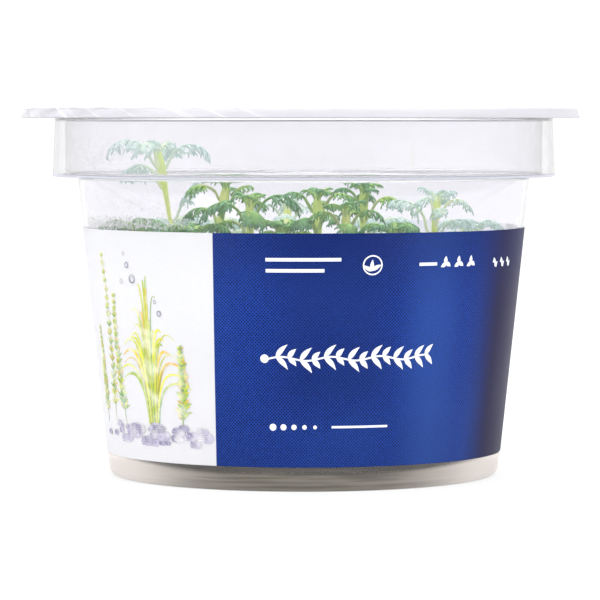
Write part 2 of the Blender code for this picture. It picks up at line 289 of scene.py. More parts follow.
def turn(name, outline, swell=None):
    """Sweeps an outline round the axis into a closed solid. Its first and last points are on the axis."""
    points, rings = [], []
    for radius, height in outline:
        if radius < 1e-6:
            rings.append([len(points)] * TURN_STEPS)
            points.append((0.0, 0.0, height))
            continue
        rings.append(list(range(len(points), len(points) + TURN_STEPS)))
        for step in range(TURN_STEPS):
            heading = 360.0 * step / TURN_STEPS
            here = radius + (swell(radius, heading) if swell else 0.0)
            points.append((*(outward(heading) * here).xy, height))
    faces = []
    for lower, upper in zip(rings, rings[1:]):
        for step in range(TURN_STEPS):
            after = (step + 1) % TURN_STEPS
            corners = (lower[step], lower[after], upper[after], upper[step])
            faces.append(tuple(dict.fromkeys(corners)))
    return make_mesh(name, points, faces)


def foot_arc(wall_radius, bend, floor, steps):
    """The round bend from the floor up into the tapering wall."""
    centre_height = floor + bend
    centre_radius = wall_radius + TAPER * centre_height - bend * math.hypot(1.0, TAPER)
    end = -math.degrees(math.atan(TAPER))
    bend_points = []
    for step in range(steps + 1):
        angle = math.radians(-90.0 + (end + 90.0) * step / steps)
        bend_points.append((centre_radius + bend * math.cos(angle), centre_height + bend * math.sin(angle)))
    return bend_points


print("round pieces are turned in", TURN_STEPS, "steps")

# %% [markdown]
# ## The culture cup
#
# The cup is one thin shell. Going up the outside: a rounded foot, the tapering body, a small
# shoulder, the wider upper wall, and a flat flange from which an outer skirt hangs down over the
# shoulder. The inside follows it at wall thickness. The outline goes once round the whole section, so
# the shell is closed and light bends through it properly.
#
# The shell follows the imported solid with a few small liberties: its shoulder is 0.6 mm higher, the
# skirt's hem 0.1 mm higher and the bend of its foot tighter, because that is how the real ones catch
# the light. The solid has a shallow recess for the label, which keeps two solids apart. Here the film
# simply lies on the wall, as it does on the real cup.

# %% Turn the cup
foot_outside = foot_arc(BASE_RADIUS, 1.5, 0.0, 8)
foot_inside = foot_arc(BASE_RADIUS - WALL, 1.1, FLOOR, 8)
shoulder_outside = [
    (body_radius(20.0), 20.0), (body_radius(LEDGE - 0.25), LEDGE - 0.25), (41.3, LEDGE),
    (COLLAR_OUTSIDE - 0.2, LEDGE), (COLLAR_OUTSIDE - 0.08, LEDGE + 0.2), (COLLAR_OUTSIDE, FLANGE_FOOT),
]
skirt = [(44.4, FLANGE_FOOT), (44.85, LEDGE + 0.1), (45.55, LEDGE + 0.1), (45.1, FLANGE_FOOT)]
flange = [(FLANGE_EDGE, FLANGE_FOOT), (FLANGE_EDGE, FLANGE_TOP), (42.6, FLANGE_TOP), (42.4, FLANGE_TOP - 0.2)]
shoulder_inside = [
    (COLLAR_INSIDE, LEDGE + 0.8), (42.0, LEDGE + 0.5),
    (inner_radius(LEDGE + 0.5) + 0.3, LEDGE + 0.5), (inner_radius(LEDGE + 0.2), LEDGE + 0.2),
]
cup_sides = shoulder_outside + skirt + flange + shoulder_inside
foot_start = (foot_outside[0][0] - 0.6, 0.0)
soft_sides = soften([foot_outside[-1]] + cup_sides + [foot_inside[-1]], 0.3, 4)
underside = [(0.0, 0.0), (29.0, 0.0), (29.4, 0.12), (30.4, 0.12), (30.8, 0.0), foot_start]
cup_outline = (underside + foot_outside + soft_sides[1:-1] + foot_inside[::-1]
               + [(foot_inside[0][0] - 0.6, FLOOR), (0.0, FLOOR)])
cup = turn("clear_cup", cup_outline)
print("cup:", len(cup.data.polygons), "faces")

# %% [markdown]
# ## The snap lid
#
# The lid is a flat ring laid over the flange, a rim turned down round its edge and a panel sunk into
# the mouth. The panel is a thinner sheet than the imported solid's, since it is seen edge on and a thick
# one would draw a dark line. At the front left the rim swells outwards as a lobe for the thumb. The
# sheet is a little cockled there, so the rim is given shallow wrinkles as real relief, in the mesh.

# %% Turn the lid
LOBE_HEADING, LOBE_HALF_WIDTH, LOBE_REACH = -60.0, 42.0, 1.25
WRINKLE_HEADING, WRINKLE_HALF_WIDTH, WRINKLE_DEPTH = -55.0, 50.0, 0.05
TURN_OF_FOLDS, SHIFT_OF_FOLDS = 1.15, 153.0
RIM_START = 48.85
PANEL_FOOT, PANEL_TOP, LID_TOP = 64.15, 64.5, 66.5


def wrinkles(heading, shift):
    """How far the wrinkles dent the rim, in mm; shift moves the folds along from ring to ring."""
    near = max(0.0, 1.0 - abs(heading - WRINKLE_HEADING) / WRINKLE_HALF_WIDTH) ** 0.5
    slant = heading * TURN_OF_FOLDS + shift
    folds = math.sin(slant) + 0.6 * math.sin(2.3 * slant + 1.3) + 0.4 * math.sin(0.37 * slant + 2.0)
    return -WRINKLE_DEPTH * near * (folds + 1.6)


def lobe(radius, heading):
    """How far the thumb lobe and its wrinkles move the rim."""
    if radius < RIM_START:
        return 0.0
    turned = (heading + 180.0) % 360.0 - 180.0
    share = max(0.0, 1.0 - abs(turned - LOBE_HEADING) / LOBE_HALF_WIDTH)
    return LOBE_REACH * min(1.0, 2.5 * share) + wrinkles(turned, SHIFT_OF_FOLDS * radius)


panel_below = [(0.0, PANEL_FOOT), (20.0, PANEL_FOOT), (41.8, PANEL_FOOT)]
rim = [(42.1, 65.7), (49.05, 65.7), (49.45, 64.6), (50.0, 64.6), (49.55, LID_TOP - 0.25), (49.3, LID_TOP)]
panel_ring = [(15.9, PANEL_TOP), (15.5, PANEL_TOP + 0.22), (14.1, PANEL_TOP + 0.22), (13.7, PANEL_TOP)]
panel_above = [(41.3, LID_TOP), (41.05, PANEL_TOP)] + panel_ring + [(0.0, PANEL_TOP)]
lid_outline = soften(panel_below + rim + panel_above, 0.22, 4)
lid = turn("clear_lid", lid_outline, lobe)
print("lid:", len(lid.data.polygons), "faces")

# %% [markdown]
# ## The nutrient gel
#
# The gel was poured hot and set, so it follows the floor and creeps a little up the wall. Its skin is
# nearly flat. Wet gel clings to the plastic with no air between them, so its side is sunk a little
# into the wall: then light passes from one to the other as it does in the real cup, and the gel
# seems to fill the cup to its very edge.

# %% Turn the gel
WET, GEL_FOOT = 0.12, FLOOR + 0.02
gel_side = foot_arc(BASE_RADIUS - WALL + WET, 1.1, GEL_FOOT, 6)
creep = [
    (inner_radius(9.0) + WET, 9.0), (inner_radius(14.6) + WET, 14.6),
    (inner_radius(14.6) - 0.15, 14.62), (inner_radius(14.5) - 0.6, 14.4),
    (inner_radius(14.2) - 1.3, 14.14), (inner_radius(14.0) - 2.2, 14.02),
]
skin_radii = (31.0, 29.0, 27.0, 25.0, 22.5, 20.0, 17.0, 14.0, 11.0, 8.0, 5.0, 2.0, 0.0)
skin = [(radius, GEL_TOP) for radius in skin_radii]
gel_outline = [(0.0, GEL_FOOT), (20.0, GEL_FOOT)] + gel_side + creep + skin
gel = turn("culture_gel", gel_outline)
print("gel:", len(gel.data.polygons), "faces")

# %% [markdown]
# Where the stems stand, fine roots and crumbs of agar cloud the gel, and near the wall it is clear.
# Two low lenses inside the gel stand for that: they bend no light and only take some away, so a view
# through the middle is dark and one that passes beside them stays pale, from wherever it comes.

# %% Turn the clouded heart of the gel
HEART_FOOT, HEART_BEND = FLOOR + 0.1, 2.5
hearts = []
for name, reach, top in (("gel_heart_wide", 20.5, 13.2), ("gel_heart_narrow", 15.5, 12.4)):
    round_edge = []
    for degrees in range(90, -1, -18):
        angle = math.radians(degrees)
        inward, lower = HEART_BEND * (1 - math.sin(angle)), HEART_BEND * (1 - math.cos(angle))
        round_edge.append((reach - inward, top - lower))
    lens = [(0.0, HEART_FOOT), (reach * 0.5, HEART_FOOT), (reach, HEART_FOOT)] + round_edge
    hearts.append(turn(name, soften(lens + [(reach * 0.5, top), (0.0, top)], 0.3, 3)))
print("hearts:", [len(heart.data.polygons) for heart in hearts], "faces")

# %% [markdown]
# ## The printed band
#
# The label is one film wrapped round the body and left open at the back. It is swept between its two
# end headings as a thin closed strip, so its cut ends and edges show their thickness.

# %% Sweep the band
BAND_STEPS = 216


def sweep_band(name, foot, top, inside, outside):
    """A strip round the body; inside and outside are distances from the body's outer radius."""
    points, faces = [], []
    for step in range(BAND_STEPS + 1):
        direction = outward(-LABEL_END + 2.0 * LABEL_END * step / BAND_STEPS)
        for height, offset in ((foot, inside), (foot, outside - 0.04), (foot + 0.06, outside),
                               (top - 0.06, outside), (top, outside - 0.04), (top, inside)):
            points.append((*(direction * (body_radius(height) + offset)).xy, height))
    for step in range(BAND_STEPS):
        here, after = 6 * step, 6 * step + 6
        for corner in range(6):
            following = (corner + 1) % 6
            faces.append((here + corner, after + corner, after + following, here + following))
    faces.append(tuple(range(5, -1, -1)))
    faces.append(tuple(range(6 * BAND_STEPS, 6 * BAND_STEPS + 6)))
    return make_mesh(name, points, faces, sharp=50.0)


band = sweep_band("label_band", LABEL_FOOT, LABEL_TOP, 0.01, FILM)
print("band:", len(band.data.polygons), "faces")

# %% [markdown]
# ## Growing leaves
#
# A featherfoil leaf is a feather: a stalk, a broad midrib, and soft fingers along both edges, which
# hang down. Flat cards would look dead from the side, so each leaf is built from lens-shaped tubes.
# Their rings are joined into one mesh, and two numbers are kept at every point: how far along the
# leaf it lies, and a tone that differs from leaf to leaf. The finish reads both.
#
# Sprig collects those tubes. Any point that would pass through the cup's wall is pulled back inside
# it, as a real leaf is pressed against the plastic.

# %% Sprig: tubes joined into one mesh
LENS = ((1.0, 0.0), (0.62, 0.72), (0.0, 1.0), (-0.62, 0.72),
        (-1.0, 0.0), (-0.62, -0.72), (0.0, -1.0), (0.62, -0.72))
ROUND = tuple((math.cos(math.radians(angle)), math.sin(math.radians(angle))) for angle in range(0, 360, 30))
LEAF_GAP, COLLAR_LIMIT = 0.3, 41.6


class Sprig:
    """Shapes gathered into one mesh."""

    def __init__(self):
        self.points, self.faces, self.along, self.tone = [], [], [], []

    def tube(self, rings, shares, tone):
        """Skins a run of rings, closed at both ends."""
        first, count = len(self.points), len(rings[0])
        for ring, share in zip(rings, shares):
            for point in ring:
                limit = inner_radius(point.z) - LEAF_GAP if point.z < LEDGE + 1.2 else COLLAR_LIMIT
                away = math.hypot(point.x, point.y)
                if away > limit:
                    point = Vector((point.x * limit / away, point.y * limit / away, point.z))
                self.points.append(point)
                self.along.append(share)
                self.tone.append(tone)
        for row in range(len(rings) - 1):
            here, after = first + row * count, first + (row + 1) * count
            for corner in range(count):
                following = (corner + 1) % count
                self.faces.append((here + corner, here + following, after + following, after + corner))
        self.faces.append(tuple(range(first + count - 1, first - 1, -1)))
        last = first + (len(rings) - 1) * count
        self.faces.append(tuple(range(last, last + count)))

    def piece(self, name):
        return make_mesh(name, self.points, self.faces, {"along": self.along, "tone": self.tone}, sharp=70.0)


def section(centre, side, up, half_width, half_thickness, fold=0.0):
    """One lens-shaped ring of a tube, its edges lifted by fold."""
    return [centre + side * (across * half_width) + up * (high * half_thickness + abs(across) * fold)
            for across, high in LENS]


print("lens section with", len(LENS), "corners, round section with", len(ROUND))

# %% [markdown]
# A finger leaves the midrib sideways and a little forwards, then bends down under its own softness.
# Its width swells and closes to a blunt tip. Longer fingers carry a small tooth on each edge, which
# gives the leaf the crumpled look of parsley.

# %% Grow one finger
FINGER_RINGS = ((0.0, 1.0), (0.3, 1.05), (0.55, 0.95), (0.78, 0.75), (0.93, 0.45), (1.0, 0.14))


def grow_finger(sprig, root, heading, normal, length, width, bend, share, tone, chance, teeth=True):
    """One finger of a leaf: heading is its first direction, and bend says how far it droops."""
    rings, shares, places = [], [], []
    for t, swell in FINGER_RINGS:
        direction = (heading * (1.0 - 0.8 * bend * t) - UP * (1.6 * bend * t)).normalized()
        place = root + heading * (length * (t - 0.4 * bend * t * t)) - UP * (length * 0.8 * bend * t * t)
        side = normal.cross(direction)
        side = side.normalized() if side.length > 1e-4 else sideways(0.0)
        up = direction.cross(side)
        rings.append(section(place, side, up, 0.5 * width * swell, 0.11 + 0.03 * (1 - t), 0.06 * width))
        shares.append(min(1.0, share + 0.5 * t))
        places.append((place, direction, side))
    sprig.tube(rings, shares, tone)
    if teeth and length > 1.3:
        for edge in (1.0, -1.0):
            place, direction, side = places[2 if edge > 0 else 3]
            lead = (side * edge * 0.8 + direction * 0.6).normalized()
            grow_finger(sprig, place + side * (edge * 0.2 * width), lead, normal,
                        length * chance.uniform(0.28, 0.4), width * 0.55, min(1.0, bend + 0.15),
                        min(1.0, share + 0.2), tone, chance, teeth=False)


print("a finger is skinned over", len(FINGER_RINGS), "rings")

# %% [markdown]
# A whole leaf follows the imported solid's path: it climbs at one angle and ends at another, with the
# turn spread over its length. Its stalk starts lower, inside the stem, and widens where it clasps it,
# because these leaf bases make the pale vase under each crown.

# %% Follow a leaf's path


def leaf_path(start, heading, length, rise, droop, steps):
    """Points and directions along the arch of a leaf."""
    places = [(start.copy(), None)]
    point = start.copy()
    for step in range(steps):
        climb = math.radians(rise + (droop - rise) * (step + 0.5) / steps)
        direction = outward(heading) * math.cos(climb) + UP * math.sin(climb)
        point = point + direction * (length / steps)
        places.append((point.copy(), direction))
    places[0] = (places[0][0], places[1][1])
    return places


tip = leaf_path(Vector(), 0.0, 8.0, 60.0, -50.0, 10)[-1][0]
print("a leaf of 8 mm, from 60 up to 50 down, reaches", round(-tip.y, 1), "mm out and",
      round(tip.z, 1), "mm up")

# %% Grow one leaf
WEB = 0.24
FINGER_REACH, FINGER_SPREAD = 0.32, 0.39


def grow_leaf(sprig, base, start, heading, length, rise, droop, chance, fingers=6, width=0.3, fine=True):
    """One arching leaf from base, inside the stem, through start, where the solid's leaf begins."""
    tone = chance.random()
    steps = 10 if fine else 7
    side = (sideways(heading + chance.uniform(-14, 14)) + UP * chance.uniform(-0.25, 0.25)).normalized()
    path = leaf_path(start, heading, length * 0.97, rise, droop, steps)
    first = path[0][1]
    clasp = start - base
    waist = base + clasp * 0.45 + outward(heading) * 0.15
    rings = [section(base, side, clasp.normalized().cross(side), 0.32, 0.22),
             section(waist, side, first.cross(side), 0.56, 0.25, 0.18)]
    shares = [0.0, 0.04]
    for index, (place, direction) in enumerate(path):
        share = index / steps
        blade = max(0.0, (share - 0.2) / 0.8)
        half = 0.29 + WEB * (width * length - 0.8) * math.sin(math.pi * min(1.0, blade ** 0.75 * 0.93))
        half = half if share < 0.99 else 0.2
        thick = 0.26 - 0.12 * share
        fold = 0.16 * half + 0.1 * (1 - share)
        rings.append(section(place, side, direction.cross(side), half, thick, fold))
        shares.append(0.08 + 0.57 * share)
    sprig.tube(rings, shares, tone)
    for edge in (1.0, -1.0):
        for number in range(fingers):
            share = 0.27 + 0.7 * (number + 0.35 + chance.uniform(-0.15, 0.15)) / fingers
            spot = share * steps
            index = min(steps - 1, int(spot))
            place = path[index][0].lerp(path[index + 1][0], spot - index)
            direction = path[index + 1][1]
            blade = (share - 0.2) / 0.8
            half = 0.29 + WEB * (width * length - 0.8) * math.sin(math.pi * blade ** 0.75 * 0.93)
            longest = FINGER_REACH * length * math.sin(math.pi * (0.18 + 0.64 * share))
            reach = longest * chance.uniform(0.85, 1.2)
            lead = (side * edge + direction * (0.35 + 0.5 * share)).normalized()
            grow_finger(sprig, place + side * (edge * half * 0.4), lead, direction.cross(side).normalized(),
                        reach + half * 0.75, FINGER_SPREAD * length / fingers * chance.uniform(0.8, 1.15),
                        chance.uniform(0.3, 0.9), 0.1 + 0.55 * share, tone, chance, teeth=fine)
    end, direction = path[-1]
    for turned in (-35.0, 0.0, 35.0):
        angle = math.radians(turned)
        lead = (direction * math.cos(angle) + side * math.sin(angle)).normalized()
        grow_finger(sprig, path[-2][0], lead, direction.cross(side).normalized(), 0.16 * length,
                    0.09 * length, 0.5, 0.62, tone, chance, teeth=False)


print("the longest finger is about", FINGER_REACH, "of its leaf")

# %% [markdown]
# ## The upright plantlets
#
# Eight plantlets reach above the label. Their feet, crowns and leaves are the same numbers as in the
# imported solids, but for the fifth one's right leaf, which is a little shorter: each leaf stands where
# its solid stands and replaces it. The stem is slimmer than its solid low down. It rises straight,
# leans late, and flares into the crown, with shallow ribs that run down from the leaf bases. Young
# leaves in each crown's heart and low whorls of smaller ones, too many for solids of their own, are
# one more piece on each stem.
#
# A plantlet is written as its foot, its crown, its stem's thickness and its leaves. A leaf is how far
# up the stem it starts, its heading, its length, and the slopes at which it climbs and ends.

# %% Where the plantlets stand
PLANTLETS = (
    ((-21.5, 7.0), (-26.8, 6.0, 58.6), 1.7, ((0.98, -85, 9.5, 68, -55), (0.96, 90, 9.0, 70, -52),
     (0.98, -20, 8.0, 64, -50), (0.96, 170, 8.5, 64, -50), (0.90, -130, 9.0, 50, -58),
     (0.73, 70, 9.0, 70, 45))),
    ((-18.3, -7.0), (-14.0, -5.0, 52.5), 1.6, ((0.97, -80, 6.0, 45, -50), (0.95, 75, 4.5, 66, -20),
     (0.90, 5, 6.0, 45, -55), (0.95, 160, 6.0, 50, -45), (0.86, -125, 7.0, 42, -50))),
    ((-9.0, -20.0), (-9.6, -17.5, 49.5), 1.7, ((0.98, 80, 8.5, 62, -60), (0.95, -72, 8.5, 58, -66),
     (0.92, 8, 8.0, 50, -62), (0.97, 165, 6.0, 52, -40), (0.88, -125, 6.5, 42, -50))),
    ((3.2, -15.5), (2.4, -13.5, 50.5), 1.8, ((0.98, -85, 5.0, 66, -40), (0.98, 75, 5.5, 62, -58),
     (0.88, -35, 5.5, 36, -58), (0.94, 170, 6.0, 52, -45), (0.90, 25, 5.5, 42, -60))),
    ((10.4, 1.0), (10.9, -0.5, 51.5), 1.7, ((0.98, -75, 4.0, 50, -25), (0.98, 20, 4.0, 50, -25),
     (0.91, 88, 6.6, 72, -55), (0.91, -30, 5.5, 42, -50), (0.95, 175, 6.0, 48, -45))),
    ((21.8, -5.5), (24.0, -7.0, 50.0), 1.5, ((0.98, -38, 5.0, 55, -62), (0.97, 75, 5.5, 50, -68),
     (0.97, 170, 6.0, 50, -45), (0.86, -88, 9.5, 88, -18), (0.85, 88, 7.5, 55, -58),
     (0.93, 5, 5.0, 48, -55))),
    ((8.4, -25.0), (7.2, -24.0, 48.0), 1.6, ((0.97, -80, 5.5, 56, -55), (0.97, 75, 6.0, 58, -55),
     (0.92, 5, 6.0, 42, -58), (0.97, 160, 5.0, 55, -35), (0.86, 70, 8.0, 40, -58))),
    ((-4.5, 14.5), (-3.0, 16.5, 48.0), 1.7, ((0.97, -70, 7.5, 55, -50), (0.95, 65, 7.5, 55, -50),
     (0.97, 175, 7.5, 55, -50), (0.92, -5, 7.0, 48, -50))),
)
STEM_FLARE, STEM_LEAN = 0.55, 1.6


def stem_point(plantlet, along):
    """Point on a plantlet's axis, from 0 at the gel to 1 at the crown."""
    foot, crown = plantlet[0], plantlet[1]
    lean = along ** STEM_LEAN
    return Vector((foot[0] + (crown[0] - foot[0]) * lean, foot[1] + (crown[1] - foot[1]) * lean,
                   GEL_TOP + 0.1 + (crown[2] - GEL_TOP - 0.1) * along))


def stem_radius(plantlet, along):
    return 0.5 * plantlet[2] * (1.0 + STEM_FLARE * along ** 4)


print(len(PLANTLETS), "upright plantlets with", sum(len(plantlet[3]) for plantlet in PLANTLETS), "leaves")

# %% Grow a stem and its young leaves
STEM_STEPS = 24


def grow_stem(sprig, plantlet, chance):
    """The ribbed stem, sunk a little into the gel and closed at its top."""
    rings, shares = [], []
    for step in range(STEM_STEPS + 1):
        along = step / STEM_STEPS
        centre = stem_point(plantlet, along) - UP * (1.2 if step == 0 else 0.0)
        slim = 0.45 + 0.55 * min(1.0, max(0.0, (along - 0.78) / 0.2)) ** 1.3
        closing = 0.35 if step == STEM_STEPS else 0.8 if step == STEM_STEPS - 1 else 1.0
        radius = stem_radius(plantlet, along) * slim * closing
        ring = []
        for across, forward in ROUND:
            rib = 1.0 + 0.12 * along * math.cos(4.0 * math.atan2(forward, across) + 3.0 * along)
            ring.append(centre + Vector((across, forward, 0.0)) * (radius * rib))
        rings.append(ring)
        shares.append(along)
    sprig.tube(rings, shares, chance.random())


def grow_young(sprig, plantlet, chance):
    """The upright young leaves in a crown's heart, and the low whorls of small leaves."""
    top = stem_point(plantlet, 0.985)
    for number in range(5):
        heading = 72 * number + chance.uniform(-20, 20)
        start = top + outward(heading) * 0.45 + UP * 0.2
        grow_leaf(sprig, top - UP * 1.2, start, heading, chance.uniform(3.2, 4.6),
                  chance.uniform(72, 86), chance.uniform(-40, 10), chance, fingers=5, fine=False)
    for along in (0.32, 0.52, 0.68):
        turned = chance.uniform(0, 360)
        for number in range(4):
            heading = turned + 90 * number + chance.uniform(-15, 15)
            base = stem_point(plantlet, along)
            start = base + outward(heading) + UP * 0.5
            grow_leaf(sprig, base, start, heading, chance.uniform(5.5, 7.5),
                      chance.uniform(35, 60), chance.uniform(-50, -30), chance, fingers=4, fine=False)


print("a stem is skinned over", STEM_STEPS + 1, "rings")

# %% Grow the upright plantlets
stems, leaves, young = [], [], []
for number, plantlet in enumerate(PLANTLETS, start=1):
    chance = random.Random(100 + number)
    sprig = Sprig()
    grow_stem(sprig, plantlet, chance)
    stem = sprig.piece(f"featherfoil_{number}_stem")
    stems.append((stem, f"plantlet_{number}_stem"))
    sprig = Sprig()
    grow_young(sprig, plantlet, chance)
    young.append((sprig.piece(f"featherfoil_{number}_young_leaves"), number))
    for count, (along, heading, length, rise, droop) in enumerate(plantlet[3], start=1):
        sprig = Sprig()
        start = stem_point(plantlet, along) + outward(heading) * (stem_radius(plantlet, along) + 0.6)
        base = stem_point(plantlet, along) - UP * 2.6 + outward(heading) * 0.25
        fingers = max(4, round(0.55 * length))
        grow_leaf(sprig, base, start, heading, length, rise, droop, chance, fingers=fingers)
        leaves.append((sprig.piece(f"featherfoil_{number}_leaf_{count}"), f"plantlet_{number}_leaf_{count}"))
print("stems:", sum(len(stem.data.polygons) for stem, node in stems), "faces; leaves:",
      sum(len(leaf.data.polygons) for leaf, node in leaves), "faces")

# %% [markdown]
# ## The short plantlets
#
# Between the tall ones stand low bushy plantlets, whose heads make the green line above the label.
# Each is one piece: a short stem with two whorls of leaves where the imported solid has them, a heart
# of small upright leaves that gives the line its teeth, and more leaves between and below. It is
# written as its foot, its height, its leaves' length and the angle by which it is turned.

# %% Grow the short plantlets
SHORT_PLANTLETS = (
    ((-29.6, -3.0), 45.0, 7.5, 10.0), ((-19.5, -18.0), 45.0, 6.5, 40.0), ((-3.6, -6.5), 45.5, 6.0, 20.0),
    ((16.3, -12.0), 45.0, 6.0, 0.0), ((30.4, 3.5), 45.0, 6.5, 25.0), ((13.0, 22.0), 44.5, 8.0, 50.0),
    ((-16.0, 23.0), 44.5, 7.5, 15.0),
)


def grow_short(sprig, place, height, length, turned, chance):
    """A short stem and its whorls."""
    foot = Vector((*place, GEL_TOP - 1.0))
    rings, shares = [], []
    for step in range(13):
        along = step / 12
        centre = foot + UP * ((height - foot.z) * along)
        radius = 0.75 + 0.2 * along ** 3
        rings.append([centre + Vector((across, forward, 0.0)) * (radius * (0.5 if step == 12 else 1.0))
                      for across, forward in ROUND])
        shares.append(along)
    sprig.tube(rings, shares, chance.random())
    for side in range(6):
        heading = turned + 60.0 * (side + 0.5)
        upper = side % 2 == 0
        level = height - (0.8 if upper else 2.4)
        middle = Vector((*place, level))
        grow_leaf(sprig, middle - UP * 1.5, middle + outward(heading) * 1.3, heading, length,
                  58 if upper else 40, -50, chance, fingers=6)
        if upper:
            grow_leaf(sprig, middle - UP * 2.0, middle + outward(heading + 30) * 1.1 + UP * 0.1, heading + 30,
                      length * chance.uniform(0.55, 0.75), chance.uniform(50, 75), -35, chance, fingers=5)
    for number in range(9):
        heading = turned + 40.0 * number + chance.uniform(-12, 12)
        middle = Vector((*place, height - 1.0)) + outward(heading) * (0.8 + 0.5 * (number % 3))
        grow_leaf(sprig, middle - UP * 1.4, middle, heading, length * chance.uniform(0.32, 0.55),
                  chance.uniform(58, 84), chance.uniform(-45, 0), chance, fingers=5, fine=number % 3 == 0)
    for level in (height - 9.0, height - 17.0):
        for side in range(4):
            heading = turned + 90 * side + level * 7.0
            middle = Vector((*place, level))
            grow_leaf(sprig, middle, middle + outward(heading) * 1.1 + UP * 0.5, heading,
                      length * chance.uniform(0.75, 0.95), 50, -45, chance, fingers=4, fine=False)


shorts = []
for number, (place, height, length, turned) in enumerate(SHORT_PLANTLETS, start=1):
    sprig = Sprig()
    grow_short(sprig, place, height, length, turned, random.Random(300 + number))
    shorts.append((sprig.piece(f"featherfoil_short_{number}"), f"short_plantlet_{number}"))
print("short plantlets:", sum(len(short.data.polygons) for short, node in shorts), "faces")

# %% [markdown]
# ## Condensation
#
# A closed culture cup sweats. Drops sit on the inside of the wall at the front left: behind the skirt
# a loose scatter, and below it a fine mist that grows coarser towards the leaves. Each is a low dome
# of water, a few rings of points on the wall, and all are joined into one mesh: real drops bend the
# green behind them, which no painted speckle does.

# %% Scatter the drops
FIRST_HEADING, SUNK = -88.0, 0.01
BELTS = ((45.1, 47.8, 1500, 0.07, 0.15, 0.75, -24.0), (46.6, 53.6, 2400, 0.03, 0.08, 0.25, -24.0),
         (55.0, 61.8, 700, 0.07, 0.12, 0.5, -40.0))


def wall_point(heading, height, lift):
    """A point inside the cup at a distance lift from its inner wall."""
    radius = (inner_radius(height) if height < LEDGE + 0.4 else COLLAR_INSIDE) - lift
    return Vector((*(outward(heading) * radius).xy, height))


def scatter_drops(chance):
    """Each belt has a lowest and highest place, a count, a smallest and largest size, a bulge
    and the heading where it ends."""
    points, faces = [], []
    for low, high, count, small, large, bulge, last in BELTS:
        for number in range(count):
            heading = chance.triangular(FIRST_HEADING, last, 0.5 * (last + FIRST_HEADING))
            height = chance.triangular(low, high, low + 0.35 * (high - low))
            size = small + (large - small) * chance.random() ** 2.0
            first = len(points)
            side = sideways(heading)
            for share, lift in ((1.0, 0.0), (0.66, 0.72 * bulge)):
                for corner in range(5):
                    angle = math.radians(72 * corner + 36 * (share < 1.0))
                    aside, higher = math.cos(angle) * size * share, math.sin(angle) * size * share * 1.15
                    middle = wall_point(heading, height, size * lift - SUNK)
                    points.append(middle + (side * aside + UP * higher))
            points.append(wall_point(heading, height, size * bulge))
            for corner in range(5):
                after = (corner + 1) % 5
                faces.append((first + corner, first + after, first + 5 + corner))
                faces.append((first + after, first + 5 + after, first + 5 + corner))
                faces.append((first + 5 + corner, first + 5 + after, first + 10))
            faces.append(tuple(first + corner for corner in range(4, -1, -1)))
    return points, faces


drops = make_mesh("condensation", *scatter_drops(random.Random(7)))
print("drops:", len(drops.data.polygons), "faces")

# %% [markdown]
# ## Ink on the label
#
# The print is laid on as ink: thin ribbons and dots of mesh a few hundredths of a millimetre proud of
# the film, each point with its own colour. A shader could draw a few shapes with sums, but strokes
# with a swelling width and a colour that fades along them are simpler to lay down one by one.
#
# Where a real label has words and a picture of its maker's own, this one has plain motifs. The dark
# field has a leafy garland, a sprouting leaf in a ring, leaflets, small waves, dots and rules. The
# white field has arching straps over pebbles.

# %% Pen: strokes on the band
PRINT_RADIUS = 38.3


class Pen:
    """Flat strokes on the label; across is measured along its surface from the front, in mm."""

    def __init__(self):
        self.points, self.faces, self.colours = [], [], []

    def put(self, across, height, colour, lift):
        direction = outward(math.degrees(across / PRINT_RADIUS))
        self.points.append((*(direction * (body_radius(height) + FILM + lift)).xy, height))
        self.colours.append((*colour, 1.0))
        return len(self.points) - 1

    def stroke(self, path, widths, start_colour, end_colour, lift=0.03):
        """A ribbon along a path of (across, height), with a half width and a colour at each point."""
        rows = []
        last = len(path) - 1
        for index, (across, height) in enumerate(path):
            before, after = path[max(0, index - 1)], path[min(last, index + 1)]
            along = Vector((after[0] - before[0], after[1] - before[1])).normalized()
            half = widths[index]
            colour = [a + (b - a) * index / last for a, b in zip(start_colour, end_colour)]
            aside, higher = along.y * half, -along.x * half
            rows.append([self.put(across + aside * edge, height + higher * edge, colour, lift)
                         for edge in (1.0, -1.0)])
        for (right, left), (far_right, far_left) in zip(rows, rows[1:]):
            self.faces.append((right, far_right, far_left, left))

    def disc(self, across, height, radius, colour, hole=0.0, lift=0.03, squash=1.0, corners=20):
        """A filled dot, or a ring when it has a hole."""
        angles = [2 * math.pi * corner / corners for corner in range(corners)]
        rims = []
        for size in (radius, hole) if hole else (radius,):
            rims.append([self.put(across + size * math.cos(angle), height + size * squash * math.sin(angle),
                                  colour, lift) for angle in angles])
        if hole:
            for corner in range(corners):
                after = (corner + 1) % corners
                self.faces.append((rims[0][corner], rims[0][after], rims[1][after], rims[1][corner]))
        else:
            self.faces.append(tuple(rims[0]))

    def piece(self, name):
        made = make_mesh(name, self.points, self.faces)
        ink = made.data.attributes.new("ink", "FLOAT_COLOR", "POINT")
        ink.data.foreach_set("color", [value for colour in self.colours for value in colour])
        return made


def curve(start, handle, end, steps):
    """Points along a quadratic curve."""
    return [(start[0] * (1 - t) ** 2 + handle[0] * 2 * t * (1 - t) + end[0] * t * t,
             start[1] * (1 - t) ** 2 + handle[1] * 2 * t * (1 - t) + end[1] * t * t)
            for t in (step / steps for step in range(steps + 1))]


def taper_widths(count, width):
    """Half widths that swell in the middle of a stroke and end in a point."""
    return [width * (0.2 + 0.8 * math.sin(math.pi * (0.15 + 0.85 * index / (count - 1))) ** 0.8)
            if index < count - 1 else width * 0.1 for index in range(count)]


print("one degree of heading is", round(PRINT_RADIUS * math.pi / 180, 2), "mm along the label")

# %% Draw the plain motifs on the dark field
WHITE_INK = shade(236, 238, 246)


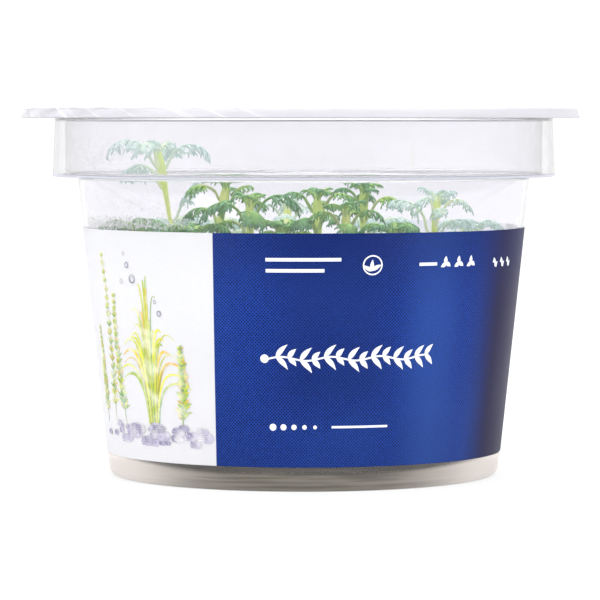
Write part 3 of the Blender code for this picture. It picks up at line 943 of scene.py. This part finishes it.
def leaflet(pen, across, height, angle, length, width, colour, far_colour=None, lift=0.03):
    """One pointed leaf shape at an angle in degrees."""
    lean = math.radians(angle)
    end = (across + length * math.cos(lean), height + length * math.sin(lean))
    handle = (across + 0.5 * length * math.cos(lean + 0.25), height + 0.5 * length * math.sin(lean + 0.25))
    path = curve((across, height), handle, end, 8)
    widths = [width * math.sin(math.pi * min(1.0, 0.06 + 0.94 * step / 8) ** 0.8) for step in range(9)]
    pen.stroke(path, widths, colour, far_colour or colour, lift)


white_print = Pen()
garland = [(-6.2 + 0.7 * step, 23.3 + 0.35 * math.sin(0.5 * step)) for step in range(43)]
white_print.stroke(garland, [0.16] * 43, WHITE_INK, WHITE_INK)
for step in range(2, 42, 3):
    for tilt in (48, -48):
        leaflet(white_print, *garland[step], tilt, 2.5 + 0.5 * math.sin(step), 0.46, WHITE_INK, lift=0.036)
white_print.disc(-6.9, 23.3, 0.75, WHITE_INK)
for row, (start, end) in enumerate(((-6.4, 6.2), (-6.4, 3.4))):
    rule = [(start + (end - start) * step / 14, 40.4 - 1.9 * row) for step in range(15)]
    white_print.stroke(rule, [0.3] * 15, WHITE_INK, WHITE_INK)
white_print.disc(11.6, 39.4, 1.75, WHITE_INK, hole=1.5)
for tilt in (30, 90, 150):
    leaflet(white_print, 11.6, 38.5, tilt, 1.9, 0.36, WHITE_INK)
for place in (25.7, 28.7, 31.7):
    for tilt in (90, 210, 330):
        leaflet(white_print, place, 39.5, tilt, 1.25, 0.4, WHITE_INK)
rule = [(20.2 + 0.45 * step, 39.4) for step in range(9)]
white_print.stroke(rule, [0.28] * 9, WHITE_INK, WHITE_INK)
for place in (38.4, 41.0, 43.6):
    white_print.stroke([(place + 0.25 * step, 39.2 + 0.8 * math.sin(1.3 * step)) for step in range(6)],
                       [0.24] * 6, WHITE_INK, WHITE_INK)
for number in range(5):
    white_print.disc(-5.6 + 1.9 * number, 11.4, 0.62 - 0.07 * number, WHITE_INK)
rule = [(5.0 + 0.7 * step, 11.4) for step in range(16)]
white_print.stroke(rule, [0.2] * 16, WHITE_INK, WHITE_INK)
white_ink = white_print.piece("label_white_ink")
print("white ink:", len(white_ink.data.polygons), "faces")

# %% [markdown]
# The white field carries a small watercolour. Soft greens lean from yellow to blue-green and the
# ground is lilac grey. Thirty fine straps arch out of one tuft, four leafy stems stand beside it with
# two leaflets at each edge of every joint, and a few bubbles rise over a row of pebbles. Every stroke
# is thin and many overlap, as in a brush drawing.

# %% Draw the watercolour
LIME, OLIVE, SEA = shade(222, 218, 60), shade(150, 176, 66), shade(60, 136, 104)
MOSS, AMBER = shade(112, 138, 70), shade(226, 176, 70)
LILAC, SLATE = shade(190, 184, 206), shade(104, 98, 132)
picture = Pen()
chance = random.Random(21)
layer = 0.03


def next_layer():
    """Each stroke lies a hair above the last, so that none flickers."""
    global layer
    layer += 0.0002
    return layer


tuft = (-30.5, 10.6)
for number in range(30):
    lean = -1.0 + 2.0 * number / 29 + chance.uniform(-0.08, 0.08)
    tall = (27.0 - 12.0 * abs(lean)) * chance.uniform(0.7, 1.06)
    end = (tuft[0] + 9.0 * lean, tuft[1] + tall * (1.0 - 0.3 * abs(lean)))
    handle = (tuft[0] + 2.0 * lean, tuft[1] + tall * 1.06)
    path = curve((tuft[0] + 1.2 * lean, tuft[1]), handle, end, 26)
    tint = chance.choice((LIME, LIME, OLIVE, MOSS, SEA))
    widths = taper_widths(27, chance.uniform(0.14, 0.36))
    picture.stroke(path, widths, tint, chance.choice((LIME, OLIVE, AMBER)), next_layer())
for foot, tall, sway in (((-44.0, 10.0), 31.0, 1.2), ((-39.4, 10.2), 23.5, -1.0), ((-48.5, 10.4), 17.0, 0.6),
                         ((-23.6, 10.3), 14.5, 0.9)):
    stalk = [(foot[0] + sway * math.sin(2.6 * step / 40), foot[1] + tall * step / 40) for step in range(41)]
    picture.stroke(stalk, [0.12] * 41, MOSS, LIME, next_layer())
    for step in range(5, 41, 2):
        for edge in (1, -1):
            size = (2.3 - 0.036 * step) * chance.uniform(0.75, 1.15)
            for turned in (20, 48):
                angle = 90 - edge * (turned + chance.uniform(0, 25))
                leaflet(picture, *stalk[step], angle, size, 0.24, chance.choice((MOSS, OLIVE, SEA)),
                        chance.choice((LIME, LIME, OLIVE, AMBER)), lift=next_layer())
print("greens:", len(picture.faces), "faces")

# %% Draw the ground and the bubbles
for number in range(46):
    place = (-50.0 + 31.5 * chance.random(), 7.6 + 3.0 * chance.random())
    size = chance.uniform(0.5, 1.8)
    depth = chance.random() ** 1.5
    tint = tuple(a + (b - a) * depth for a, b in zip(LILAC, SLATE))
    picture.disc(*place, size, tint, lift=next_layer(), squash=0.5)
    for line in range(4):
        level = place[1] + size * 0.36 * (line - 1.5) * 0.7
        path = [(place[0] - size * 0.8 + size * 1.6 * step / 5, level + 0.12 * math.sin(step + line))
                for step in range(6)]
        picture.stroke(path, taper_widths(6, 0.1), SLATE, LILAC, next_layer())
for place, size in (((-33.4, 36.5), 0.8), ((-34.6, 38.9), 0.55), ((-36.6, 36.0), 0.45), ((-35.2, 40.9), 0.35),
                    ((-27.2, 30.6), 0.5), ((-28.0, 32.6), 0.35)):
    picture.disc(*place, size, SLATE, hole=size * 0.72, lift=next_layer())
    picture.disc(place[0] + 0.25 * size, place[1] + 0.25 * size, 0.2 * size, LILAC, lift=next_layer())
picture_ink = picture.piece("label_picture_ink")
print("picture ink:", len(picture_ink.data.polygons), "faces")

# %% [markdown]
# ## Clear plastic
#
# The cup and lid are one kind of clear plastic: plain transmission with the index of refraction of
# such plastics, and a faint absorption that darkens only long views through it. Its body is polished.
# The skirt was moulded against a textured steel, so a share of the light passes a rougher surface
# there: a soft veil over what stands behind. The thick turned-down rim pipes light about and looks
# milky, so most of it is a matt surface that also lets light through. At the thumb lobe slanting
# streaks of a lighter grey break it: painted highlights, like those a lamp leaves on the cockled sheet.
# The skirt's hem, the ledge of the shoulder, the foot of the lid's plug and the middle of the underside
# are milky too, the last a darker grey.
#
# The rounded foot of the cup is thick. Looked at squarely it shows the dark gel floor behind it, and
# aslant it gathers the white of the room, and both are painted into its milk. It is mixed by how
# squarely the wall faces the eye, from a dark and streaky brown grey, a painted view of the shaded
# floor, to a pale one, a painted reflection of the room, which also climbs higher.
#
# The lid's sunken panel and the cup below the label are left quite even, and the upper wall nearly
# so: they are seen edge on or with much behind them, where the least ripple would lose the light.
# Everything is placed by height and by distance from the axis, in millimetres.

# %% Finish of the clear plastic
BODY_TINT, COLLAR_TINT, FOOT_TINT = (0.89, 0.885, 0.915), (0.978, 0.974, 0.99), (0.97, 0.955, 0.945)
# The rim's lighter grey is a painted highlight.
RIM_MILK, RIM_PAINTED_HIGHLIGHT = (0.56, 0.55, 0.59), (0.80, 0.80, 0.81)
# The foot's pale tone is a painted reflection of the room; its dark and streak tones below are a painted view
# of the shaded gel floor.
FOOT_PAINTED_PALE, HEM_MILK = (0.9, 0.825, 0.775), (0.62, 0.63, 0.72)
FOOT_PAINTED_DARK, FOOT_PAINTED_STREAK, UNDERSIDE_GREY = (0.115, 0.104, 0.088), (0.2, 0.181, 0.154), (0.2, 0.195, 0.18)
LEDGE_MILK, PLASTIC_IOR = (0.93, 0.93, 0.97), 1.49


def write_plastic(name, rough_collar, wrinkle, milky, calm_above, calm_within):
    """Clear plastic: its upper wall's roughness, its ripple, how milky its rim is, and the height
    above which and the distance from the axis within which the ripple fades."""
    finish = Finish(name)
    place = finish.add("ShaderNodeTexCoord", {}, {}, "Object")
    split = finish.add("ShaderNodeSeparateXYZ", {}, {"Vector": place}, "X")
    height = split.part("Z") * 1000.0
    level = finish.stretch(place, (1000.0, 1000.0, 0.0))
    away = finish.add("ShaderNodeVectorMath", {"operation": "LENGTH"}, {0: level}, "Value")
    collar = height.fade(53.4, 54.2)
    skirt = collar * (away + height * 0.0425).fade(47.55, 47.75)
    rim = away.fade(48.8, 49.2)
    mottle = finish.noise(place, 260.0, 3.0)
    flow = finish.noise(finish.stretch(place, (1.0, 1.0, 0.35)), 55.0, 2.0)
    grain = finish.noise(place, 2400.0, 2.0)
    turned = finish.add("ShaderNodeMath", {"operation": "ARCTAN2"}, {0: split, 1: split.part("Y") * -1.0})
    slant = finish.add("ShaderNodeCombineXYZ", {}, {"X": turned * 50.0 + height * 2.4})
    highlight_streaks = finish.noise(slant, 0.32, 3.0, 0.6)
    lobe_side = turned.fade(0.0, -0.35)
    calm = height.fade(calm_above, calm_above + 2.0) * away.fade(calm_within, calm_within + 1.0)
    calm = calm * (1.0 - collar * (1.0 - rim) * 0.92)
    normal = finish.bump((flow + grain * 0.02 + mottle * wrinkle) * calm, 0.35, 0.06)
    level_out = finish.add("ShaderNodeVectorMath", {"operation": "NORMALIZE"}, {0: level})
    facing = finish.add("ShaderNodeLayerWeight", {}, {"Blend": 0.5, "Normal": level_out}, "Facing")
    aslant = facing.fade(0.03, 0.6)
    foot = (height - aslant * 1.2).fade(3.7, 2.6) * away.fade(33.0, 34.6)
    # The middle of the underside is a darker grey milk.
    underside_middle = height.fade(0.2, 0.05) * away.fade(30.0, 25.0)
    hem = height.fade(54.75, 54.35) * height.fade(53.6, 54.0) * away.fade(44.6, 45.1)
    ledge = height.fade(53.7, 53.9) * height.fade(54.4, 54.2)
    ledge = ledge * away.fade(43.9, 43.5) * away.fade(41.0, 41.2)
    plug = height.fade(65.0, 64.6) * height.fade(63.9, 64.0) * away.fade(41.0, 41.5) * away.fade(42.6, 42.2)
    tint = finish.mix(collar, finish.mix(height.fade(8.0, 20.0), FOOT_TINT, BODY_TINT), COLLAR_TINT)
    polish = (0.02 + collar * (rough_collar - 0.02) + mottle * 0.02) * calm
    clear = finish.add("ShaderNodeBsdfPrincipled", {}, {
        "Base Color": tint, "Roughness": polish, "IOR": PLASTIC_IOR, "Transmission Weight": 1.0,
        "Normal": normal})
    glow = finish.add("ShaderNodeBsdfTranslucent", {}, {"Color": (0.97, 0.965, 1.0)})
    # Painted highlights: lighter slanting streaks on the rim at the thumb lobe.
    pale = finish.mix(highlight_streaks.fade(0.52, 0.66) * lobe_side, RIM_MILK, RIM_PAINTED_HIGHLIGHT)
    drawn_out = finish.add("ShaderNodeCombineXYZ", {}, {"X": turned * 1.2, "Z": height})
    bands = finish.noise(drawn_out, 1.7, 2.0).fade(0.38, 0.62)
    bands = bands + height.fade(0.2, 0.3) * height.fade(0.62, 0.5) * 1.2 - height.fade(0.2, 0.1) * 0.8
    # Painted view and reflection: the foot is a streaky dark brown grey where it faces the eye and pale where
    # it is seen aslant.
    foot_painted_view = finish.mix(aslant, finish.mix(bands, FOOT_PAINTED_DARK, FOOT_PAINTED_STREAK), FOOT_PAINTED_PALE)
    pale = finish.mix(rim, finish.mix(underside_middle, foot_painted_view, UNDERSIDE_GREY), pale)
    pale = finish.mix(collar * (1.0 - rim), pale, HEM_MILK)
    pale = finish.mix(plug + ledge, pale, LEDGE_MILK)
    skin = finish.add("ShaderNodeBsdfPrincipled", {}, {
        "Base Color": pale, "Roughness": 0.3 + mottle * 0.2, "Specular IOR Level": 0.3, "Normal": normal})
    milk = finish.add("ShaderNodeMixShader", {}, {0: 0.15 - foot * (1.0 - aslant) * 0.13, 1: skin, 2: glow})
    frosted = finish.add("ShaderNodeBsdfPrincipled", {}, {
        "Base Color": tint, "Roughness": 0.26 + mottle * 0.1, "IOR": PLASTIC_IOR, "Transmission Weight": 1.0,
        "Normal": normal})
    veil = finish.add("ShaderNodeMixShader", {}, {0: skirt * (0.06 + mottle * 0.14), 1: clear, 2: frosted})
    body = finish.add("ShaderNodeVolumeAbsorption", {}, {"Color": (0.34, 0.32, 0.60), "Density": 3.0})
    thick = rim * milky + foot * (0.92 - aslant * 0.2) + underside_middle * 0.6
    thick = thick + hem * 0.85 + plug * 0.9 + ledge * 0.5
    return finish.done(finish.add("ShaderNodeMixShader", {}, {0: thick, 1: veil, 2: milk}), body)


cup_plastic = write_plastic("cup_plastic", 0.04, 0.04, 0.8, 4.2, -2.0)
lid_plastic = write_plastic("lid_plastic", 0.05, 0.3, 0.85, -3.0, 46.0)
print("plastic written:", cup_plastic.name, lid_plastic.name)

# %% [markdown]
# ## Gel and water
#
# The gel is water with a little agar in it: the index of water, and a faint warm absorption whose
# colour and strength are plain numbers on its own sockets. The clouded heart has an index of 1, so it
# bends nothing, and a stronger grey absorption. Crumbs of agar have set in rings on the middle of the
# floor, which is dull there and clear in its outer ring. They glow faintly, which stands for the light
# that wanders among them.
#
# The drops are water. The lowest ones, below the skirt, are so many and so fine that they look like
# pearls, so a share of each is a pale surface with a glow: painted light, standing for the light that
# they scatter.

# %% Finish of the gel
finish = Finish("agar_gel")
place = finish.add("ShaderNodeTexCoord", {}, {}, "Object")
split = finish.add("ShaderNodeSeparateXYZ", {}, {"Vector": place}, "X")
height = split.part("Z") * 1000.0
level = finish.stretch(place, (1000.0, 1000.0, 0.0))
away = finish.add("ShaderNodeVectorMath", {"operation": "LENGTH"}, {0: level}, "Value")
cloud = finish.noise(finish.stretch(place, (1.0, 1.0, 3.0)), 130.0, 4.0, 0.6)
layers = finish.noise(finish.stretch(place, (0.08, 0.08, 6.0)), 160.0, 2.0)
turned = finish.add("ShaderNodeMath", {"operation": "ARCTAN2"}, {0: split, 1: split.part("Y")})
ringed = finish.add("ShaderNodeCombineXYZ", {}, {"X": away, "Y": turned.sine() * 5.0, "Z": height})
rings = finish.noise(ringed, 0.3, 3.0, 0.6)
crumbs = (away + (rings - 0.5) * 7.0).fade(32.0, 17.0) * height.fade(2.2, 1.8)
normal = finish.bump(layers, 0.12, 0.04)
pale = finish.mix(layers.fade(0.4, 0.7), (1.0, 0.992, 0.985), (0.98, 0.965, 0.955))
body = finish.add("ShaderNodeBsdfPrincipled", {}, {
    "Base Color": pale, "Roughness": cloud * 0.006, "IOR": 1.335, "Transmission Weight": 1.0,
    "Normal": normal})
dull = finish.add("ShaderNodeBsdfPrincipled", {}, {
    "Base Color": (0.07, 0.068, 0.062), "Roughness": 0.5 + cloud * 0.2, "Specular IOR Level": 0.1,
    "Emission Color": finish.mix(rings.fade(0.3, 0.7), (0.8, 0.77, 0.70), (1.0, 0.965, 0.89)),
    "Emission Strength": 0.21})
deep = finish.add("ShaderNodeVolumeAbsorption", {}, {"Color": (0.86, 0.56, 0.40), "Density": 4.0})
agar_gel = finish.done(finish.add("ShaderNodeMixShader", {}, {0: crumbs, 1: body, 2: dull}), deep)
print("gel absorbs", [round(4.0 * (1 - part), 1) for part in (0.86, 0.56, 0.40)], "per metre")

# %% Finish of the clouded heart
finish = Finish("clouded_gel")
place = finish.add("ShaderNodeTexCoord", {}, {}, "Object")
threads = finish.noise(finish.stretch(place, (1.0, 1.0, 3.0)), 35.0, 2.0)
thin = finish.add("ShaderNodeBsdfPrincipled", {}, {
    "Base Color": finish.mix(threads.fade(0.4, 0.7), (1.0, 1.0, 1.0), (0.93, 0.92, 0.90)),
    "Roughness": 0.0, "IOR": 1.0, "Specular IOR Level": 0.0, "Transmission Weight": 1.0})
dense = finish.add("ShaderNodeVolumeAbsorption", {}, {"Color": (0.50, 0.45, 0.38), "Density": 13.0})
clouded_gel = finish.done(thin, dense)
print("heart absorbs", [round(13.0 * (1 - part), 1) for part in (0.50, 0.45, 0.38)], "per metre")

# %% Finish of the drops
finish = Finish("clear_water")
place = finish.add("ShaderNodeTexCoord", {}, {}, "Object")
height = finish.add("ShaderNodeSeparateXYZ", {}, {"Vector": place}, "Z") * 1000.0
low = height.fade(55.0, 54.0)
ripple = finish.noise(place, 900.0, 1.0)
water = finish.add("ShaderNodeBsdfPrincipled", {}, {
    "Base Color": (1.0, 1.0, 1.0), "Roughness": 0.01 + ripple * 0.02, "IOR": 1.333,
    "Transmission Weight": 1.0})
# Painted light: the pearl share glows white, standing for the light that the fine drops scatter.
pearl_glow = finish.add("ShaderNodeBsdfPrincipled", {}, {
    "Base Color": (0.4, 0.4, 0.41), "Roughness": 0.25 + ripple * 0.1, "Specular IOR Level": 0.4,
    "Emission Color": (1.0, 1.0, 1.0), "Emission Strength": 0.62})
pearl_glow_share = low * (0.22 + ripple * 0.55)
clear_water = finish.done(finish.add("ShaderNodeMixShader", {}, {0: pearl_glow_share, 1: water, 2: pearl_glow}))
print("water written:", clear_water.name)

# %% [markdown]
# ## Leaves and stems
#
# Featherfoil is pale yellow-green where the leaf clasps the stem and turns to mid green and blue-green
# towards the fingertips. The two numbers kept in each leaf drive that change through a colour ramp,
# and fine noise breaks it up. A leaf is thin enough for light to shine through, so a translucent share
# is mixed in, and a very weak glow stands for the light that wanders between many thin leaves.
# Plants at the back of the cup are paler and glow more, which a second finish gives: painted light,
# standing for the light behind them that shines through thin leaves.

# %% Finish of the leaves and stems


def write_leaf(name, stops, tip_tint, through, shine):
    finish = Finish(name)
    place = finish.add("ShaderNodeTexCoord", {}, {}, "Object")
    along = finish.add("ShaderNodeAttribute", {"attribute_name": "along"}, {}, "Fac")
    tone = finish.add("ShaderNodeAttribute", {"attribute_name": "tone"}, {}, "Fac")
    cells = finish.noise(place, 3800.0, 3.0, 0.6)
    patches = finish.noise(place, 420.0, 2.0)
    reach = along + (patches - 0.5) * 0.35 + (tone - 0.5) * 0.36
    green = finish.add("ShaderNodeValToRGB", {"stops": stops}, {"Fac": reach})
    green = finish.mix(cells.fade(0.35, 0.75) * 0.3, green, (0.6, 0.68, 0.55), "MULTIPLY")
    green = finish.mix(tone * 0.5, green, tip_tint)
    normal = finish.bump(cells + patches * 1.5, 0.55, 0.12)
    skin = finish.add("ShaderNodeBsdfPrincipled", {}, {
        "Base Color": green, "Roughness": 0.42 + cells * 0.2, "Specular IOR Level": 0.4, "Normal": normal,
        "Emission Color": green, "Emission Strength": shine})
    glow = finish.add("ShaderNodeBsdfTranslucent", {}, {"Color": through, "Normal": normal})
    return finish.done(finish.add("ShaderNodeMixShader", {}, {0: 0.28 + cells * 0.2, 1: skin, 2: glow}))


STALK, YOUNG = shade(244, 244, 196), shade(222, 238, 138)
LEAF, DEEP = shade(156, 208, 112), shade(96, 156, 122)
near_leaf = write_leaf("featherfoil_leaf", ((0.0, STALK), (0.2, YOUNG), (0.42, LEAF), (1.0, DEEP)),
                       shade(134, 190, 160), shade(190, 218, 140), 0.12)
# Painted light: the plants at the back are paler and glow more, standing for the light behind them.
far_painted_pale_leaf = write_leaf("featherfoil_pale_leaf",
                      ((0.0, shade(246, 247, 214)), (0.2, shade(234, 242, 208)), (0.42, shade(204, 222, 208)),
                       (1.0, shade(188, 210, 210))), shade(210, 224, 226), shade(224, 233, 227), 0.35)
stem_green = write_leaf("featherfoil_stem", ((0.0, shade(232, 226, 150)), (0.5, shade(228, 238, 140)),
                                             (0.8, shade(244, 246, 172)), (1.0, shade(230, 244, 164))),
                        shade(222, 240, 140), shade(240, 244, 180), 0.26)
print("leaf finishes:", near_leaf.name, far_painted_pale_leaf.name, stem_green.name)

# %% [markdown]
# ## Printed film
#
# The band is a satin film. Its dark field is printed in fine dots on a diagonal screen, so it is not
# one blue but a weave of lighter and darker points, with slow clouds in it. Painted light lies over
# that print: the blue is lighter about 24 mm right of the front, a painted reflection of a lamp, and
# darker about the front, along the top and towards its right end, which is painted shade. The white
# field meets it on a nearly upright line. Both come from the heading and height of the point, worked
# out in the shader from its place. The film's back is bare white, and light shines through the white
# field, so a translucent share is mixed in there. Round the back of the cup, past the dark field, the
# film is bare. Its outer face is a greyer white there and its inner face glows, and wherever the film
# is white its foot glows faintly. Both glows are painted light, standing for light that the wet cup
# passes on to it.

# %% Finish of the film
DARK_START, DARK_END = -16.1, 70.0
finish = Finish("label_film")
place = finish.add("ShaderNodeTexCoord", {}, {}, "Object")
split = finish.add("ShaderNodeSeparateXYZ", {}, {"Vector": place}, "X")
across_x, across_y, height = split, split.part("Y"), split.part("Z") * 1000.0
heading = finish.add("ShaderNodeMath", {"operation": "ARCTAN2"}, {0: across_x, 1: across_y * -1.0})
across = heading * PRINT_RADIUS
edge = across - DARK_START - (height - 24.0) * 0.033
dark = edge.fade(-0.06, 0.06) * (across - DARK_END).fade(0.06, -0.06)
away = (across_x * across_x + across_y * across_y).root() * 1000.0
printed = (away - height * TAPER - BASE_RADIUS).fade(0.04, 0.08)
rise, fall = ((across + height) * 10.6).sine(), ((across - height) * 10.6).sine()
screen = finish.add("ShaderNodeMath", {"operation": "MAXIMUM"}, {0: rise, 1: fall}).fade(-0.4, 1.0)
clouds = finish.noise(place, 42.0, 3.0, 0.55)
speck = finish.noise(place, 2600.0, 1.0)
blue = finish.mix(screen * (0.35 + speck * 0.9), shade(0, 0, 44), shade(30, 72, 168))
blue = finish.mix(clouds.fade(0.45, 0.75) * 0.22, blue, shade(46, 82, 158))
# Painted reflection: the blue is lighter about 24 mm right of the front.
blue = finish.mix((across - 24.0).positive().fade(9.0, 0.0) * 0.38, blue, shade(52, 86, 160))
# Painted shade: the blue is darker towards the right end, along the top and about the front.
blue = finish.mix(across.fade(32.0, 43.0) * 0.95, blue, shade(12, 0, 50))
blue = finish.mix(height.fade(31.0, 44.0) * 0.4, blue, shade(10, 26, 88))
middle = (across - 5.0).positive().fade(16.0, 4.0) * height.fade(9.0, 20.0)
blue = finish.mix(middle * 0.45, blue, shade(6, 22, 82))
paper = finish.mix(speck.fade(0.3, 0.7) * 0.5, shade(238, 238, 241), shade(233, 233, 238))
film_rough = 0.36 + clouds * 0.12 + speck * 0.05
normal = finish.bump(clouds * 2.0 + speck * 0.15, 0.4, 0.1)
bare = across.positive().fade(DARK_END - 1.0, DARK_END + 1.0)
# The bare back's outer face is a greyer white, which offsets the painted glow of its inner face.
paper = finish.mix(bare * printed, paper, shade(206, 206, 210))
# Painted light: the glow of the bare back's inner face, and a faint glow low down wherever the film is not
# dark.
lit = height.fade(26.0, 6.0) * (1.0 - dark * printed) * 0.13 + bare * (1.0 - printed)
film = finish.add("ShaderNodeBsdfPrincipled", {}, {
    "Base Color": finish.mix(dark * printed, paper, blue), "Roughness": film_rough, "Specular IOR Level": 0.1,
    "Coat Roughness": 0.25, "Coat Weight": 0.03, "Normal": normal,
    "Emission Color": finish.mix(lit, (0.0, 0.0, 0.0), paper), "Emission Strength": 1.0})
through = finish.add("ShaderNodeBsdfTranslucent", {}, {"Color": (0.98, 0.98, 0.99)})
sheer = 0.34 - dark * 0.325 - bare * printed * 0.2
label_film = finish.done(finish.add("ShaderNodeMixShader", {}, {0: sheer, 1: film, 2: through}))
print("the dark field runs from", DARK_START, "to", DARK_END, "mm along the label")

# %% Finish of the inks


def write_ink(name, wash_share):
    """Ink takes its colour from the strokes, and a cloudy wash lets the paper show through it."""
    finish = Finish(name)
    place = finish.add("ShaderNodeTexCoord", {}, {}, "Object")
    grain = finish.noise(place, 2600.0, 2.0)
    wash = finish.noise(place, 420.0, 3.0)
    colour = finish.add("ShaderNodeAttribute", {"attribute_name": "ink"}, {}, "Color")
    colour = finish.mix(wash.fade(0.35, 0.8) * wash_share, colour, shade(246, 246, 240))
    return finish.done(finish.add("ShaderNodeBsdfPrincipled", {}, {
        "Base Color": colour, "Roughness": 0.38 + grain * 0.14, "Specular IOR Level": 0.4}))


plain_ink = write_ink("white_ink", 0.1)
wash_ink = write_ink("wash_ink", 0.6)
print("label finishes:", label_film.name, plain_ink.name, wash_ink.name)

# %% [markdown]
# ## Putting finishes on, and hiding what they stand for
#
# Each piece takes its finish and rides on the model's one body. That solid stays for collision but
# is no longer shown.

# %% Dress every piece
dressed = []


def dress(piece, material, slot, *nodes):
    """Gives a piece its finish, its body and the solids it stands for; its slot is not used."""
    piece.data.materials.append(material)
    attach(piece, "root")
    if nodes:
        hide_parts(*nodes)
    dressed.append(piece.name)


dress(cup, cup_plastic, "clear_plastic", "culture_cup")
dress(lid, lid_plastic, "lid_plastic", "snap_lid")
dress(gel, agar_gel, "gel_jelly", "nutrient_gel")
for heart in hearts:
    dress(heart, clouded_gel, "gel_jelly")
dress(band, label_film, "label_film", "wrap_label")
dress(white_ink, plain_ink, "label_film")
dress(picture_ink, wash_ink, "label_film")
dress(drops, clear_water, "clear_plastic")
for stem, node in stems:
    dress(stem, stem_green, "stem_green", node)
FAR_PLANTLETS, FAR_SHORTS = (1, 6, 8), (5, 6, 7)
for leaf, node in leaves:
    number = int(node.split("_")[1])
    dress(leaf, far_painted_pale_leaf if number in FAR_PLANTLETS else near_leaf, "leaf_green", node)
for piece, number in young:
    dress(piece, far_painted_pale_leaf if number in FAR_PLANTLETS else near_leaf, "leaf_green")
for number, (short, node) in enumerate(shorts, start=1):
    dress(short, far_painted_pale_leaf if number in FAR_SHORTS else near_leaf, "leaf_green", node)
print("dressed", len(dressed), "pieces")

# %% [markdown]
# ## Floor, light and camera
#
# The cup was photographed on white against white. The floor is a large pale sheet with a glow that
# brings it near the world's own white, so that no horizon shows through the cup. The world is white
# with a softly darker part in front, since clear plastic shows its edges only where it bends in
# something darker, and much brighter overhead, where it lights the leaves. Two broad soft lamps lift
# the label.

# %% Floor
FLOOR_SIZE, FLOOR_STEPS = 4000.0, 16
floor_points, floor_faces = [], []
ticks = [FLOOR_SIZE * (step / FLOOR_STEPS - 0.5) for step in range(FLOOR_STEPS + 1)]
for y in ticks:
    for x in ticks:
        floor_points.append((x, y, -0.03))
for row in range(FLOOR_STEPS):
    for column in range(FLOOR_STEPS):
        here = row * (FLOOR_STEPS + 1) + column
        floor_faces.append((here, here + 1, here + FLOOR_STEPS + 2, here + FLOOR_STEPS + 1))
floor = make_mesh("studio_floor", floor_points, floor_faces)
finish = Finish("pale_floor")
place = finish.add("ShaderNodeTexCoord", {}, {}, "Object")
tooth = finish.noise(place, 900.0, 2.0)
sheet = finish.add("ShaderNodeBsdfPrincipled", {}, {
    "Base Color": finish.mix(tooth * 0.1, (0.17, 0.17, 0.172), (0.15, 0.15, 0.152)), "Roughness": 0.9,
    "Specular IOR Level": 0.1, "Emission Color": (1.0, 1.0, 1.0), "Emission Strength": 0.72})
floor.data.materials.append(finish.done(sheet))
print("floor:", len(floor.data.polygons), "faces,", FLOOR_SIZE * MM, "m wide")

# %% World
scene = bpy.context.scene
world = bpy.data.worlds.new("white_studio")
scene.world = world
finish = Finish("white_studio", world)
toward = finish.add("ShaderNodeTexCoord", {}, {}, "Generated")
split = finish.add("ShaderNodeSeparateXYZ", {}, {"Vector": toward}, "X")
front = (split.part("Y") * -1.0).fade(0.2, 0.9)
above = split.part("Z").fade(0.55, 0.95)
AROUND, FRONT_LOSS, OVERHEAD = 1.07, 0.25, 3.6
light_amount = AROUND - front * FRONT_LOSS + above * OVERHEAD
backdrop = finish.add("ShaderNodeBackground", {}, {"Color": (1.0, 1.0, 1.0), "Strength": light_amount})
finish.done(backdrop)
print("world strength behind, in front and overhead:",
      AROUND, round(AROUND - FRONT_LOSS, 2), round(AROUND + OVERHEAD, 2))

# %% Lamps


def hang_lamp(name, place, size, power):
    """A broad square lamp that faces the cup."""
    light = bpy.data.lights.new(name, "AREA")
    light.size, light.energy = size, power
    lamp = bpy.data.objects.new(name, light)
    scene.collection.objects.link(lamp)
    lamp.location = place
    lamp.rotation_euler = (Vector((0.0, 0.0, 0.03)) - Vector(place)).to_track_quat("-Z", "Y").to_euler()
    return lamp


hang_lamp("key_lamp", (-0.75, -0.6, 0.55), 0.6, 3.2)
hang_lamp("fill_lamp", (0.8, -0.6, 0.5), 0.6, 2.2)
scene.view_settings.view_transform = "Standard"
print("lamps:", [item.name for item in bpy.data.lights])

# %% Camera
EYE = (-0.68, -654.5, 64.6)
LENS_LENGTH, LOOK_DOWN = 216.0, 2.894
camera_data = bpy.data.cameras.new("camera")
camera_data.lens = LENS_LENGTH
camera_data.sensor_width = 36.0
camera_data.clip_start = 0.01
camera = bpy.data.objects.new("camera", camera_data)
scene.collection.objects.link(camera)
camera.location = Vector(EYE) * MM
camera.rotation_euler = (math.radians(90.0 - LOOK_DOWN), 0.0, 0.0)
scene.camera = camera
print("camera", tuple(round(value, 4) for value in camera.location), "lens", camera_data.lens)
